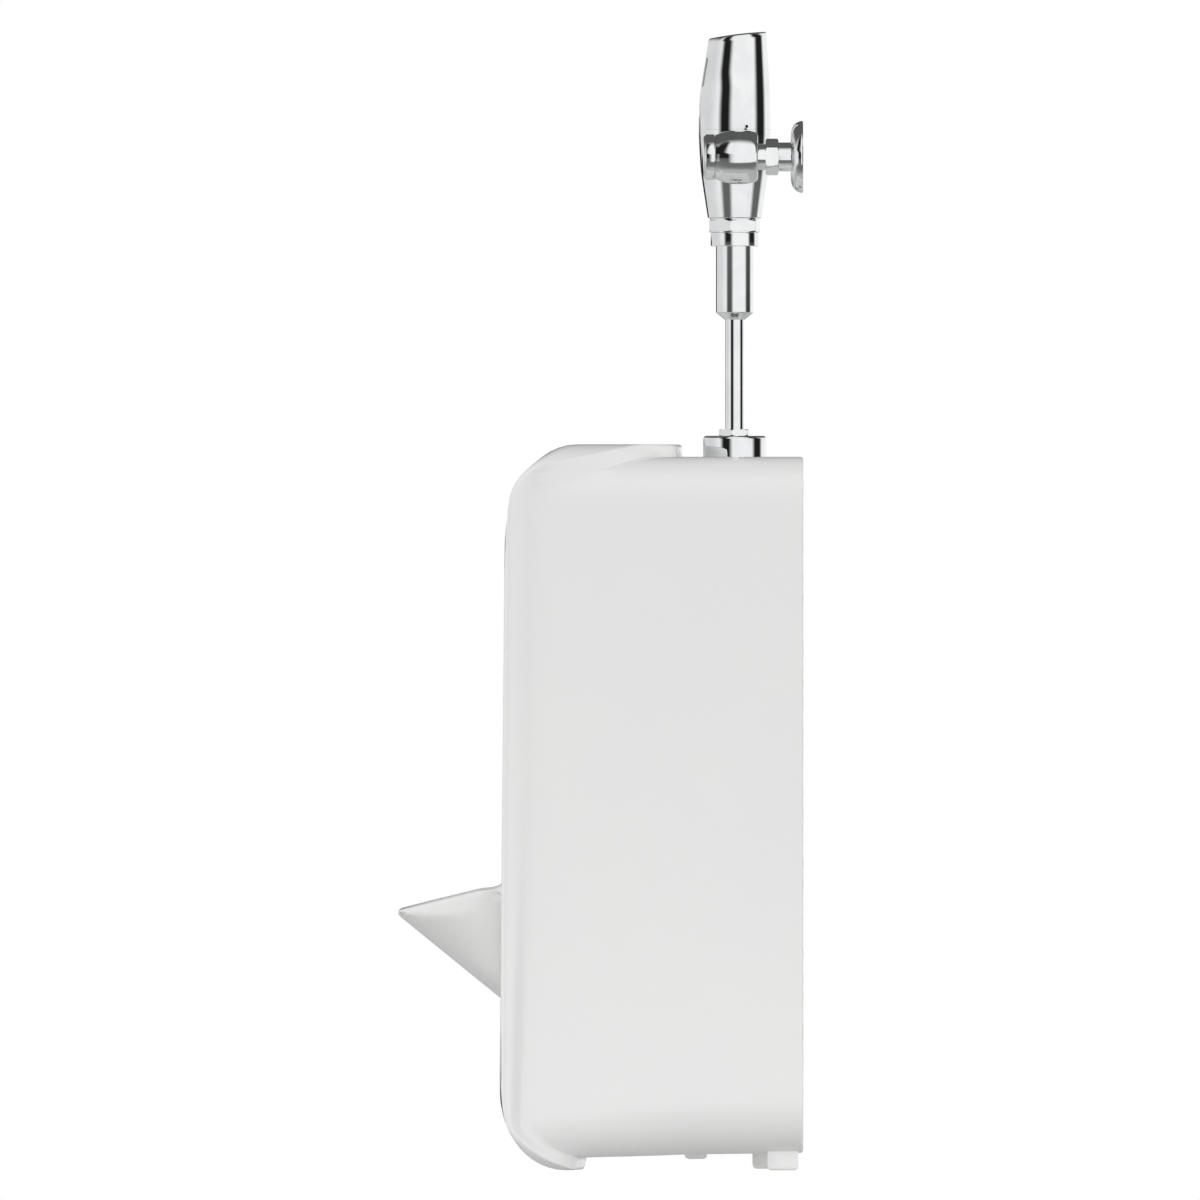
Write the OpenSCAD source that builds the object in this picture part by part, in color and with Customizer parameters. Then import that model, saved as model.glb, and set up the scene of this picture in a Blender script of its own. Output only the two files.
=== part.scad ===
// Wall-hung urinal with a sensor flush valve, a control stop and a wall flange.
// The wall is the plane Y = 0, the room is towards -Y, and Z is up.
// The origin is the centre of the waste outlet in the plane of the wall.

/* [China body] */
// Width across the front shield
shield_w = 460; // [430:5:500]
// Height of the body from its feet to the top of the shield
body_h = 725; // [700:5:760]
// How far the front shield stands proud of the casing behind it
shield_step = 12.5; // [10:0.5:15]
// Depth from the wall to the top of the front face
body_d = 298; // [290:1:310]
// Extra depth of the front face at its foot
front_lean = 5; // [0:0.5:8]
// Thickness of the china walls
china_wall = 8.5; // [7.5:0.5:10]
// Depth of the flat rim that meets the wall all round
land_w = 24; // [18:1:30]
// Radius of the casing's upper corners
casing_top_r = 42; // [36:1:46]
// Radius of the casing's lower corners
casing_low_r = 55; // [48:1:60]
// Radius of the casing's back edge
back_edge_r = 3; // [2:0.5:8]
// Height of the casing's bottom above the feet, at the wall
casing_foot_h = 17; // [14:0.5:20]
// Fall of the casing's bottom from the wall to the front
casing_fall = 4; // [2:0.5:6]
// Fall of the shield's rounded top to the front face
top_fall = 100; // [90:1:106]
// Depth over which the shield's top rounds into the front face
top_run = 72; // [66:1:76]
// Rise of the shield's rounded foot to the front face
low_rise = 78; // [72:1:84]
// Depth over which the shield's foot rounds into the front face
low_run = 64; // [60:1:66]
// Radius of the rolled side edges of the front face
side_edge_r = 6; // [4:0.5:8]
// Depth from the wall to the step on top of the shield
step_d = 119; // [110:1:130]
// Depth from the wall to the step under the shield's foot
foot_step_d = 212; // [206:1:218]
// Depth from the wall at which the shield's sides begin to flare
flare_d = 262; // [256:1:264]
// Depth over which the shield's sides flare
flare_run = 28; // [20:1:30]

/* [Bowl and lip] */
// Half of the width of the bowl's mouth
mouth_half = 165; // [155:1:175]
// Height of the bowl's floor above the feet
bowl_floor_h = 125; // [122:1:130]
// Distance from the top of the shield to the bowl's ceiling
ceiling_gap = 70; // [64:1:80]
// Corner radius at the top of the mouth
mouth_corner_r = 85; // [70:1:95]
// Height at which the mouth's sides become upright
rim_h = 300; // [290:1:320]
// Half of the width of the bowl's floor
sump_half = 45; // [42:1:50]
// Depth from the wall to the bowl's back
bowl_back_d = 45; // [44:0.5:50]
// Distance from the front face to the middle of the bowl's floor
sump_front = 118; // [113:1:123]
// Radius between the bowl's back and its ceiling
ceiling_r = 60; // [50:1:64]
// How far the lip reaches out from the front face
lip_reach = 104; // [80:1:115]
// Height at which the lip's underside leaves the front face
lip_foot_h = 170; // [165:1:175]
// Height of the lip's tip above the feet
lip_tip_h = 260; // [255:1:268]
// Height of the edge at the lip's tip
lip_edge = 6; // [4:0.5:9]
// Height of the lip's rim where it meets the front face
lip_root_h = 285; // [280:1:292]
// Width of each rear leg
leg_w = 56; // [40:1:70]
// Distance of each side leg from the shield's side
leg_inset = 80; // [70:1:100]
// Depth of the side legs
leg_d = 31; // [26:1:36]
// Depth of the middle leg
middle_leg_d = 45; // [38:1:50]
// Gap between the legs and the wall
leg_gap = 5; // [3:1:8]
// Width of the tab under the bottom
tab_w = 60; // [40:1:80]

/* [Waste outlet] */
// Height of the outlet's centre above the feet
outlet_h = 130; // [126:1:134]
// Bore of the outlet flange
waste_bore_r = 30.2; // [29:0.1:31]
// Radius of the outlet flange
outlet_flange_r = 46; // [42:0.5:48]
// Thickness of the outlet flange
outlet_flange_t = 12; // [10:0.5:14]
// Thickness of the outlet gasket
outlet_gasket_t = 3; // [2:0.5:4]
// Distance of each outlet bolt from the middle
outlet_bolt_x = 57; // [56:0.5:60]
// Radius of the outlet bolts
outlet_bolt_r = 4; // [3:0.5:4.5]
// Radius of the trapway
trap_r = 25; // [22:0.5:26]
// Radius of the drain strainer
strainer_r = 38; // [34:0.5:40]
// Thickness of the drain strainer
strainer_t = 2; // [1.5:0.1:3]

/* [Wall hangers] */
// Distance of each hanger from the shield's side
hanger_inset = 80; // [65:1:100]
// Width of each hanger
hanger_w = 44; // [36:1:50]
// Thickness of the hangers
hanger_t = 3; // [2:0.5:4]
// Radius of the hangers' screw holes
hanger_hole_r = 3.5; // [2.5:0.1:4.5]
// Distance between the screw holes of a hanger
hanger_pitch = 35; // [28:1:38]

/* [Spud] */
// Distance from the wall to the flush valve's axis
valve_d = 68; // [66:0.5:72]
// Outer radius of the flush tube
tube_r = 9.5; // [8.5:0.1:10]
// Wall of the flush tube and of the vacuum breaker tube
tube_wall = 1.2; // [0.8:0.1:1.5]
// Radius of the spud
spud_r = 16; // [15:0.5:18]
// Radius of the spud's upper thread
spud_thread_r = 13.4; // [12.8:0.1:14]
// Radius of the spud cover
spud_cover_r = 31.5; // [30.5:0.5:35]
// Height of the spud cover
spud_cover_h = 21.5; // [19:0.5:25]
// Size of the slip nut across its flats
slip_nut_af = 29; // [28.5:0.5:31]
// Height of the slip nut
slip_nut_h = 6.5; // [6:0.1:8]

/* [Flush valve] */
// Height of the supply's centreline above the ledge
supply_rise = 300; // [290:1:340]
// Radius of the vacuum breaker tube
breaker_r = 18.75; // [17.5:0.25:19]
// Length of the vacuum breaker tube below its collar
breaker_l = 66.5; // [60:0.5:75]
// Height of the cone at the foot of the vacuum breaker tube
cone_h = 7; // [5:0.5:10]
// Radius of the collar
collar_r = 24; // [23:0.5:26]
// Height of the collar
collar_h = 14; // [11:0.5:16]
// Size of the coupling nut across its flats
coupling_af = 46.8; // [45.5:0.1:50]
// Height of the coupling nut
coupling_h = 12; // [10:0.5:14]
// Radius of the valve body's lower thread
neck_r = 20.3; // [19.8:0.1:21]
// Radius at the valve body's foot
valve_foot_r = 27; // [25:0.5:29]
// Radius of the valve body and of the cover at their seam
valve_r = 36; // [35.5:0.5:38]
// Height of the seam above the supply's centreline
seam_rise = 28.8; // [28:0.2:32]
// Depth of the valve body's foot below the supply's centreline
valve_drop = 60; // [58:0.5:64]
// Radius of the piston chamber
chamber_r = 26; // [25:0.5:27]
// Radius of the outlet bore below the seat
outlet_bore_r = 14; // [12.5:0.25:15]
// Travel of the flush piston
piston_travel = 5; // [3:0.5:5]
// Clearance of the sliding and turning fits
running_gap = 0.08; // [0.04:0.01:0.1]

/* [Cover and sensor] */
// Height of the cover above the seam, at its front
cover_h = 91; // [88:0.5:100]
// Rise of the cover's top from its front to its back
cover_slant = 7; // [3:0.5:9]
// Radius of the cover's top
cover_top_r = 29.1; // [27.5:0.1:30]
// How far the cover's top leans towards the wall
cover_lean = 2.9; // [0:0.1:5]
// Height of the cover's upright part
cover_straight_h = 28; // [24:0.5:32]
// Wall of the cover
cover_wall = 1.6; // [1.2:0.1:2]
// Width of the sensor window
window_w = 26; // [20:0.5:28]
// Height of the sensor window
window_h = 30; // [24:0.5:34]
// Height of the window's lower edge above the seam
window_rise = 42; // [40:0.5:46]
// Radius of the override button
button_r = 6; // [4.5:0.25:6.5]
// Height of the override button above the seam
button_rise = 17; // [16:0.5:20]
// Travel of the override button
button_travel = 3; // [2:0.25:3.5]
// Radius of the cover screws
cover_screw_r = 1.6; // [1.3:0.1:1.6]

/* [Solenoid and electronics] */
// Radius of the solenoid coil
coil_r = 11; // [9:0.5:12]
// Height of the solenoid coil
coil_h = 24; // [22:0.5:28]
// Radius of the solenoid plunger
plunger_r = 4.5; // [3.5:0.25:5]
// Travel of the solenoid plunger
plunger_travel = 2.5; // [1.5:0.25:3]
// Radius of the battery cells
cell_r = 8.5; // [7.5:0.25:9]
// Length of the battery cells
cell_l = 34; // [28:0.5:36]

/* [Control stop] */
// Distance from the valve's axis to the stop's axis
stop_x = 120.5; // [116:0.5:126]
// Largest radius of the stop's barrel
barrel_r = 27.2; // [26.5:0.1:29]
// Radius of the barrel at its front
barrel_front_r = 22.4; // [22:0.1:23.5]
// Radius of the barrel at its back
barrel_back_r = 24.9; // [23:0.1:26]
// Length of the barrel
barrel_l = 43; // [42:0.5:46]
// Depth from the wall to the barrel's back
barrel_d = 45; // [43:0.5:48]
// Radius of the stop's neck
stop_neck_r = 13; // [12.8:0.1:14]
// Radius of the stop cap
stop_cap_r = 22.8; // [22.4:0.1:24]
// Length of the stop cap's skirt
stop_cap_l = 10; // [9:0.5:12]
// Rise of the stop cap's dome
stop_dome = 4; // [2:0.5:6]
// Radius of the stop's chamber
stop_chamber_r = 15; // [14:0.25:16]
// Radius of the stop screw
stop_screw_r = 4; // [3:0.25:5]
// Travel of the stop poppet
poppet_travel = 4.5; // [3:0.25:4.5]
// Outer radius of the tailpiece
tailpiece_r = 16; // [14.5:0.25:16.5]
// Wall of the tailpiece
tailpiece_wall = 3; // [2:0.25:3.5]
// Size of the tailpiece nut across its flats
tailpiece_nut_af = 44; // [43:0.5:45]

/* [Supply] */
// Bore of the supply adapter
supply_bore_r = 11.15; // [10.5:0.05:11.3]
// Wall of the supply adapter
adapter_wall = 1.05; // [0.8:0.05:1.2]
// Size of the supply nut across its flats
supply_nut_af = 31.8; // [30.5:0.1:34]
// Length of the supply nut
supply_nut_l = 13; // [11:0.5:14]
// Outer radius of the supply sleeve
sleeve_r = 14.5; // [14.2:0.1:15.2]
// Wall of the supply sleeve
sleeve_wall = 1.2; // [0.8:0.1:1.4]
// Radius of the wall flange
wall_flange_r = 36; // [32:0.5:40]
// Depth of the wall flange
wall_flange_d = 12.2; // [10:0.2:16]

/* [Hidden] */

$fn = 64;
china = [0.95, 0.95, 0.94];
chrome = [0.78, 0.79, 0.8];
brass = [0.72, 0.58, 0.32];
steel = [0.62, 0.64, 0.66];
rubber = [0.12, 0.12, 0.12];
dark_plastic = [0.1, 0.1, 0.11];
grey_plastic = [0.35, 0.36, 0.38];

// Heights in the part's frame
feet_z = -outlet_h;
ledge_z = feet_z + body_h - shield_step;
supply_z = ledge_z + supply_rise;
seam_z = supply_z + seam_rise;
// Places that keep their distance from the china's outside
bowl_top_h = body_h - ceiling_gap;
sump_d = body_d - sump_front;
leg_x = shield_w / 2 - leg_inset;
hanger_x = shield_w / 2 - hanger_inset;
// A small overlap that keeps cuts clean
over = 1;

// Rings with sides at 0 low and high, about the Z axis
module ring(outer_r, inner_r, low, high) {
  difference() {
    translate([0, 0, low]) cylinder(r = outer_r, h = high - low);
    translate([0, 0, low - over]) cylinder(r = inner_r, h = high - low + 2 * over);
  }
}

// A hexagonal nut with chamfered corners and a round hole
module hex_nut(across_flats, hole_r, low, high, turn = 0) {
  corner_r = across_flats / 2 / cos(30);
  chamfer = (corner_r - across_flats / 2) * 0.8;
  difference() {
    intersection() {
      translate([0, 0, low]) rotate([0, 0, turn]) cylinder(r = corner_r, h = high - low, $fn = 6);
      rotate_extrude()
        polygon([[0, low], [corner_r - chamfer, low], [corner_r, low + chamfer * 0.6],
                 [corner_r, high - chamfer * 0.6], [corner_r - chamfer, high], [0, high]]);
    }
    translate([0, 0, low - over]) cylinder(r = hole_r, h = high - low + 2 * over);
  }
}

// Turns what stands on Z so that it runs from the wall into the room, at a place on the wall
module from_wall(x, z) translate([x, 0, z]) rotate([90, 0, 0]) children();

// What stands about the flush valve's axis
module on_valve_axis() translate([0, -valve_d, 0]) children();

// What lies about the control stop's axis, with its Z the depth from the wall
module on_stop_axis() from_wall(stop_x, supply_z) children();

// The china's outline: points [x, h, side, up] with their outward direction, h above the feet
corner_n = 6;
edge_n = 5;
function arc_points(cx, ch, r, start) =
  [for (i = [0:corner_n]) let (a = start + 90 * i / corner_n) [cx + r * cos(a), ch + r * sin(a), cos(a), sin(a)]];
function edge_points(half, h, up) =
  [for (i = [1:edge_n]) [up * half * (1 - 2 * i / (edge_n + 1)), h, 0, up]];
function outline(half, low, high, low_r, high_r) = concat(
  arc_points(half - high_r, high - high_r, high_r, 0),
  edge_points(half - high_r, high, 1),
  arc_points(high_r - half, high - high_r, high_r, 90),
  arc_points(low_r - half, low + low_r, low_r, 180),
  edge_points(half - low_r, low, -1),
  arc_points(half - low_r, low + low_r, low_r, 270));

// The front face leans, so a depth grows with it towards the foot
face_top_h = 645;
face_foot_h = 100;
function lean(h) = 1 + front_lean / body_d * min(1, max(0, (face_top_h - h) / (face_top_h - face_foot_h)));
function placed(p, d) = [p[0], -d * lean(p[1]), feet_z + p[1]];

// A closed skin over rings of as many points each, capped by a fan at both ends
function middle(points) = [for (k = [0:2]) let (s = [for (p = points) p[k]]) (max(s) + min(s)) / 2];
module skin(rings) {
  n = len(rings[0]);
  last = len(rings) - 1;
  points = concat([for (r = rings) each r], [middle(rings[0]), middle(rings[last])]);
  first_mid = n * len(rings);
  sides = [for (k = [0:last - 1]) for (i = [0:n - 1]) let (a = k * n + i, b = k * n + (i + 1) % n)
    each [[a, b, b + n], [a, b + n, a + n]]];
  caps = [for (i = [0:n - 1]) each [
    [first_mid, (i + 1) % n, i],
    [first_mid + 1, last * n + i, last * n + (i + 1) % n]]];
  polyhedron(points = points, faces = concat(sides, caps), convexity = 6);
}

// The casing behind the shield
casing_half = shield_w / 2 - shield_step;
casing_top_h = body_h - shield_step;
function casing_low(d) = casing_foot_h - casing_fall * d / body_d;
function casing_ring(d, inset) =
  [for (p = outline(casing_half - inset, casing_low(d) + inset, casing_top_h - inset,
                    casing_low_r - inset, casing_top_r - inset)) placed(p, d)];
casing_end_side = flare_d + 10;
casing_end_top = body_d - top_run + 14;
function casing_front_ring() =
  [for (p = outline(casing_half, casing_low(casing_end_top), casing_top_h, casing_low_r, casing_top_r))
    placed(p, casing_end_side * p[2] * p[2] + casing_end_top * p[3] * p[3])];

// The shield: its rear edge sweeps back over the top and under the foot
shield_r = casing_top_r + shield_step;
function swept_edge(x, h) =
  let (u = min(1, abs(x) / (shield_w / 2 - shield_step)),
       side = h > body_h / 2 ? flare_d : flare_d + (foot_step_d + 65 - flare_d) * (1 - 2 * h / body_h),
       centre = h > body_h / 2 ? step_d : foot_step_d)
  side - (side - centre) * sqrt(1 - pow(u, 4));
step_run = 4;
function ease(t) = t * t * (3 - 2 * t);
function flare_ring(t, bite) =
  let (inset = shield_step * (1 - ease(t)) + bite)
  [for (p = outline(shield_w / 2 - inset, inset, body_h - inset, shield_r - inset, shield_r - inset))
    placed(p, swept_edge(p[0], p[1]) + t * (flare_run * p[2] * p[2] + step_run * p[3] * p[3]))];
function face_ring(turn) =
  let (side_in = side_edge_r * (1 - cos(turn)), back = 1 - sin(turn))
  [for (p = outline(shield_w / 2 - side_in, low_rise * (1 - cos(turn)), body_h - top_fall * (1 - cos(turn)),
                    shield_r, shield_r))
    placed(p, body_d - back * (side_edge_r * p[2] * p[2] + (p[3] > 0 ? top_run : low_run) * p[3] * p[3]))];

module outer_body() {
  skin([casing_front_ring(), casing_ring(back_edge_r, 0), casing_ring(back_edge_r * 0.3, back_edge_r * 0.3),
        casing_ring(0, back_edge_r)]);
  skin(concat([for (turn = [90:-11.25:0]) face_ring(turn)],
              [for (t = [0.75, 0.5, 0.25]) flare_ring(t, 0)], [flare_ring(0, 2)]));
}

// The hollow between the casing and the bowl, open at the wall inside the flat rim
function hollow_ring(d, inset) =
  [for (p = outline(casing_half - inset, casing_low(0) + inset, casing_top_h - inset,
                    casing_low_r - inset / 2, casing_top_r - inset / 2)) placed(p, d)];
function hollow_face_ring(turn) =
  let (t = china_wall, back = 1 - sin(turn), fall = (top_fall - shield_step) * (1 - cos(turn)),
       rise = (low_rise - casing_foot_h) * (1 - cos(turn)))
  [for (p = outline(casing_half - t, casing_foot_h + t + rise, casing_top_h - t - fall,
                    casing_low_r - t, casing_top_r - t))
    placed(p, body_d - t - back * (p[3] > 0 ? top_run : low_run) * p[3] * p[3])];
module hollow() {
  skin(concat([for (turn = [90:-22.5:0]) hollow_face_ring(turn)],
              [hollow_ring(china_wall * 2, china_wall), hollow_ring(china_wall, land_w),
               hollow_ring(-2 * over, land_w)]));
}

// The bowl: level sections, each with a rounder back and a sharper front that runs into the lip
back_n = 14;
front_n = 10;
lip_edge_h = lip_tip_h - lip_edge;
lip_slope = (lip_edge_h - lip_foot_h) / lip_reach;
bowl_heights = concat(
  [for (t = [0, 0.06, 0.2, 0.45, 0.72]) bowl_floor_h + t * (lip_foot_h - bowl_floor_h)],
  [for (t = [0:0.25:0.75]) lip_foot_h + t * (lip_edge_h - lip_foot_h)],
  [lip_edge_h, lip_tip_h, lip_root_h, rim_h],
  [for (a = [0:15:90]) bowl_top_h - mouth_corner_r * (1 - sin(a))]);
function shaped(t) = pow(sin(90 * min(1, max(0, t))), 0.8);
function roundover(h, r) = h > bowl_top_h - r ? r * (1 - sqrt(max(0, 1 - pow((h - bowl_top_h + r) / r, 2)))) : 0;
function face_d(h) = body_d * lean(h);
function reach(h, skin_t) =
  min(lip_reach - (china_wall - skin_t),
      (h - lip_foot_h) / lip_slope - (china_wall - skin_t) * sqrt(1 + 1 / pow(lip_slope, 2)));
function half_width(h) =
  sump_half + (mouth_half - sump_half) * shaped((h - bowl_floor_h) / (rim_h - bowl_floor_h))
  - roundover(h, mouth_corner_r);
function back_depth(h) =
  sump_d - sump_half - (sump_d - sump_half - bowl_back_d) * shaped((h - bowl_floor_h) / 200)
  + roundover(h, ceiling_r);
function widest_depth(h) =
  sump_d + (face_d(h) - sump_d) * shaped((h - bowl_floor_h) / 80);
function bow(a, power) = pow(abs(a), power) * sign(a);
function bowl_ring(h, skin_t) =
  let (above = max(0, (h - bowl_top_h) / mouth_corner_r + 1),
       below = max(0, (lip_foot_h - h) / (lip_foot_h - bowl_floor_h)),
       shell_h = h + skin_t * (above - below),
       half = half_width(h) + skin_t, mid = widest_depth(h),
       back = back_depth(h) - skin_t, front = face_d(shell_h) + reach(shell_h, skin_t))
  concat(
    [for (j = [0:back_n - 1]) let (a = 180 * j / back_n)
      [half * bow(cos(a), 0.8), -mid + (mid - back) * bow(sin(a), 0.8), feet_z + shell_h]],
    [for (j = [0:front_n - 1]) let (a = 180 + 180 * j / front_n)
      [half * bow(cos(a), 1.15), -mid + (front - mid) * bow(sin(a), 1.15), feet_z + shell_h]]);
module bowl(skin_t) {
  skin([for (i = [len(bowl_heights) - 1:-1:0]) bowl_ring(bowl_heights[i], skin_t)]);
}

// All of the room in front of the face that lies below the lip's sloping rim
module below_rim() {
  root_d = face_d(lip_root_h);
  tip_d = root_d + lip_reach + 2;
  rise = (lip_root_h - lip_tip_h) / lip_reach;
  translate([shield_w / 2, 0, feet_z]) rotate([90, 0, -90]) linear_extrude(shield_w)
    polygon([[root_d - 20, bowl_floor_h], [tip_d, bowl_floor_h],
             [tip_d, lip_tip_h - 2 * rise], [root_d - 20, lip_root_h + 20 * rise]]);
}

// The trapway from the bowl's floor to the outlet, along points [depth, height] in the middle plane
boss_face_d = outlet_flange_t + outlet_gasket_t;
trap_low_h = 51;
trap_path = [[sump_d, bowl_floor_h + 2], [sump_d, outlet_h * 0.77], [sump_d * 0.983, trap_low_h * 1.57],
             [sump_d * 0.928, trap_low_h * 1.22], [sump_d * 0.833, trap_low_h], [sump_d * 0.722, trap_low_h],
             [sump_d * 0.622, trap_low_h * 1.22], [sump_d * 0.556, trap_low_h * 1.57],
             [sump_d * 0.517, outlet_h * 0.77], [sump_d * 0.461, outlet_h * 0.91],
             [sump_d * 0.367, outlet_h * 0.985], [sump_d * 0.256, outlet_h + 1],
             [boss_face_d + 10, outlet_h]];
function turn_at(i) =
  let (a = trap_path[max(0, i - 1)], b = trap_path[min(len(trap_path) - 1, i + 1)]) atan2(b[1] - a[1], b[0] - a[0]);
module trap(r, end_d) {
  path = concat(trap_path, [[end_d, outlet_h]]);
  skin([for (i = [0:len(path) - 1]) let (a = i >= len(trap_path) - 1 ? 180 : turn_at(i))
    [for (j = [0:19]) let (s = 18 * j)
      [-r * cos(s), -path[i][0] + r * sin(s) * sin(a), feet_z + path[i][1] + r * sin(s) * cos(a)]]]);
}

// A leg with rounded toes
module leg(x, width, depth) {
  toe = 4;
  hull() {
    for (d = [leg_gap + toe, leg_gap + depth - toe])
      translate([x - width / 2, -d, feet_z + toe]) rotate([0, 90, 0]) cylinder(r = toe, h = width, $fn = 24);
    translate([x - width / 2, -leg_gap - depth, feet_z + casing_foot_h + 2]) cube([width, depth, 3]);
  }
}

// The hanger's shelf carries this lug, and its lip stands in the lug's slot
hanger_seat_h = casing_top_h - china_wall - 33;
hanger_lip_d = 21;
hanger_lip_h = 17;
module hanger_lug(x) {
  slot_gap = 0.6;
  difference() {
    hull() {
      translate([x - hanger_w / 2 - 4, -hanger_lip_d - 14, feet_z + hanger_seat_h]) cube([hanger_w + 8, 26, 1]);
      translate([x - hanger_w / 2 - 8, -hanger_lip_d - 18, feet_z + casing_top_h - china_wall]) cube([hanger_w + 16, 34, 3]);
    }
    translate([x - hanger_w / 2 - 1.5, -hanger_lip_d - hanger_t - slot_gap, feet_z + hanger_seat_h - over])
      cube([hanger_w + 3, hanger_t + 2 * slot_gap, hanger_lip_h + 2 * over]);
  }
}

// Water from the spud spreads along a channel and falls through a row of holes in the ceiling
channel_half = 86;
channel_back_d = 36;
channel_front_d = 100;
channel_h = 44;
channel_low_h = casing_top_h - channel_h;
spud_hole_r = spud_r + 1.5;
wash_hole_r = 3;
wash_holes = 9;
module channel_block() {
  translate([-channel_half - china_wall, -channel_front_d - china_wall, feet_z + bowl_top_h - 14])
    cube([2 * (channel_half + china_wall), channel_front_d - channel_back_d + 2 * china_wall - 0.5,
          casing_top_h - bowl_top_h + 13]);
}
module channel_cuts() {
  translate([-channel_half, -channel_front_d, feet_z + channel_low_h])
    cube([2 * channel_half, channel_front_d - channel_back_d, casing_top_h - china_wall - 1.5 - channel_low_h]);
  on_valve_axis() translate([0, 0, ledge_z - 20]) cylinder(r = spud_hole_r, h = 30, $fn = 32);
  for (i = [0:wash_holes - 1])
    translate([(i / (wash_holes - 1) - 0.5) * 1.9 * channel_half, -channel_front_d + 12, feet_z + bowl_top_h - 30])
      cylinder(r = wash_hole_r, h = channel_low_h + over - bowl_top_h + 30, $fn = 8);
}

// The outlet's boss with two lugs for the flange bolts
boss_t = 12;
outlet_lug_r = 13;
module outlet_boss() {
  from_wall(0, 0) translate([0, 0, boss_face_d]) cylinder(r = outlet_flange_r, h = boss_t + 8, $fn = 40);
  for (side = [-1, 1]) hull() {
    from_wall(side * outlet_bolt_x, 0) translate([0, 0, boss_face_d]) cylinder(r = outlet_lug_r, h = boss_t, $fn = 24);
    from_wall(side * 20, 0) translate([0, 0, boss_face_d]) cylinder(r = outlet_lug_r + 8, h = boss_t, $fn = 24);
  }
}

// Under the strainer the bowl's floor has a seat for it
strainer_gasket_t = 1.5;
strainer_hole_r = 2.5;
strainer_screw_x = strainer_r - 6;
module china_body() color(china) difference() {
  union() {
    difference() {
      outer_body();
      hollow();
    }
    intersection() {
      bowl(china_wall);
      union() {
        outer_body();
        below_rim();
      }
    }
    intersection() {
      union() {
        trap(trap_r + china_wall, boss_face_d + boss_t);
        channel_block();
        for (side = [-1, 1]) hanger_lug(side * hanger_x);
      }
      outer_body();
    }
    outlet_boss();
    for (side = [-1, 1]) leg(side * leg_x, leg_w, leg_d);
    leg(0, leg_w * 1.6, middle_leg_d);
    hull() {
      translate([-tab_w / 2, -118, feet_z + 12]) cube([tab_w, 22, 6]);
      translate([-tab_w / 2 + 2, -114, feet_z + 9.5]) cube([tab_w - 4, 15, 1]);
    }
  }
  bowl(0);
  trap(trap_r, boss_face_d - over);
  channel_cuts();
  for (side = [-1, 1]) {
    from_wall(side * outlet_bolt_x, 0) translate([0, 0, boss_face_d - over])
      cylinder(r = outlet_bolt_r + 1.2, h = boss_t + 2 * over, $fn = 20);
    translate([side * strainer_screw_x, -sump_d, feet_z + bowl_floor_h - 6]) cylinder(r = 2.2, h = 8, $fn = 12);
  }
}

// Strainer: a slotted plate on a gasket over the trapway
module at_strainer() translate([0, -sump_d, feet_z + bowl_floor_h]) children();
module strainer_gasket() color(rubber) at_strainer() difference() {
  ring(strainer_r - 1, trap_r, 0, strainer_gasket_t);
  for (side = [-1, 1]) translate([side * strainer_screw_x, 0, -over]) cylinder(r = 2.3, h = 4);
}
module drain_strainer() color(steel) at_strainer() difference() {
  translate([0, 0, strainer_gasket_t]) cylinder(r = strainer_r, h = strainer_t);
  for (side = [-1, 1]) translate([side * strainer_screw_x, 0, 0]) cylinder(r = 2.3, h = 8);
  cylinder(r = strainer_hole_r, h = 8);
  for (k = [1, 2], i = [0:6 * k - 1])
    rotate([0, 0, 60 * i / k]) translate([k * trap_r / 2.9, 0, 0]) cylinder(r = strainer_hole_r, h = 8);
}
module strainer_screws() color(steel) at_strainer() for (side = [-1, 1])
  translate([side * strainer_screw_x, 0, 0]) {
    translate([0, 0, -5.5]) cylinder(r = 2, h = 6 + strainer_gasket_t + strainer_t);
    difference() {
      translate([0, 0, strainer_gasket_t + strainer_t]) cylinder(r = 3.8, h = 1.6);
      translate([-4, -0.5, strainer_gasket_t + strainer_t + 0.8]) cube([8, 1, 2]);
    }
  }

// Waste connection behind the china
bolt_head_r = outlet_bolt_r + 3;
bolt_head_t = 4;
module outlet_plate(low, high) {
  translate([0, 0, low]) cylinder(r = outlet_flange_r, h = high - low);
  for (side = [-1, 1]) translate([side * outlet_bolt_x, 0, low]) cylinder(r = outlet_lug_r, h = high - low);
  translate([-outlet_bolt_x, -outlet_lug_r, low]) cube([2 * outlet_bolt_x, 2 * outlet_lug_r, high - low]);
}
module outlet_flange() color(brass) from_wall(0, 0) difference() {
  outlet_plate(0, outlet_flange_t);
  translate([0, 0, -over]) cylinder(r = waste_bore_r, h = outlet_flange_t + 2 * over);
  for (side = [-1, 1]) translate([side * outlet_bolt_x, 0, -over]) {
    cylinder(r = outlet_bolt_r + 0.4, h = outlet_flange_t + 2 * over);
    cylinder(r = bolt_head_r + 0.4, h = bolt_head_t + over);
  }
}
module outlet_gasket() color(rubber) from_wall(0, 0)
  ring(outlet_flange_r - 1, waste_bore_r + 0.5, outlet_flange_t, boss_face_d);
nut_seat_d = boss_face_d + boss_t;
module outlet_bolts() color(brass) for (side = [-1, 1]) from_wall(side * outlet_bolt_x, 0) {
  translate([0, 0, 0.5]) cylinder(r = bolt_head_r, h = bolt_head_t - 0.5);
  translate([0, 0, bolt_head_t - 0.5]) cylinder(r = outlet_bolt_r, h = nut_seat_d + 14 - bolt_head_t);
}
module outlet_nuts() color(brass) for (side = [-1, 1]) from_wall(side * outlet_bolt_x, 0) {
  ring(outlet_bolt_r + 5, outlet_bolt_r, nut_seat_d, nut_seat_d + 1.5);
  hex_nut(2 * outlet_bolt_r + 6, outlet_bolt_r, nut_seat_d + 1.5, nut_seat_d + 8);
}

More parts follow.
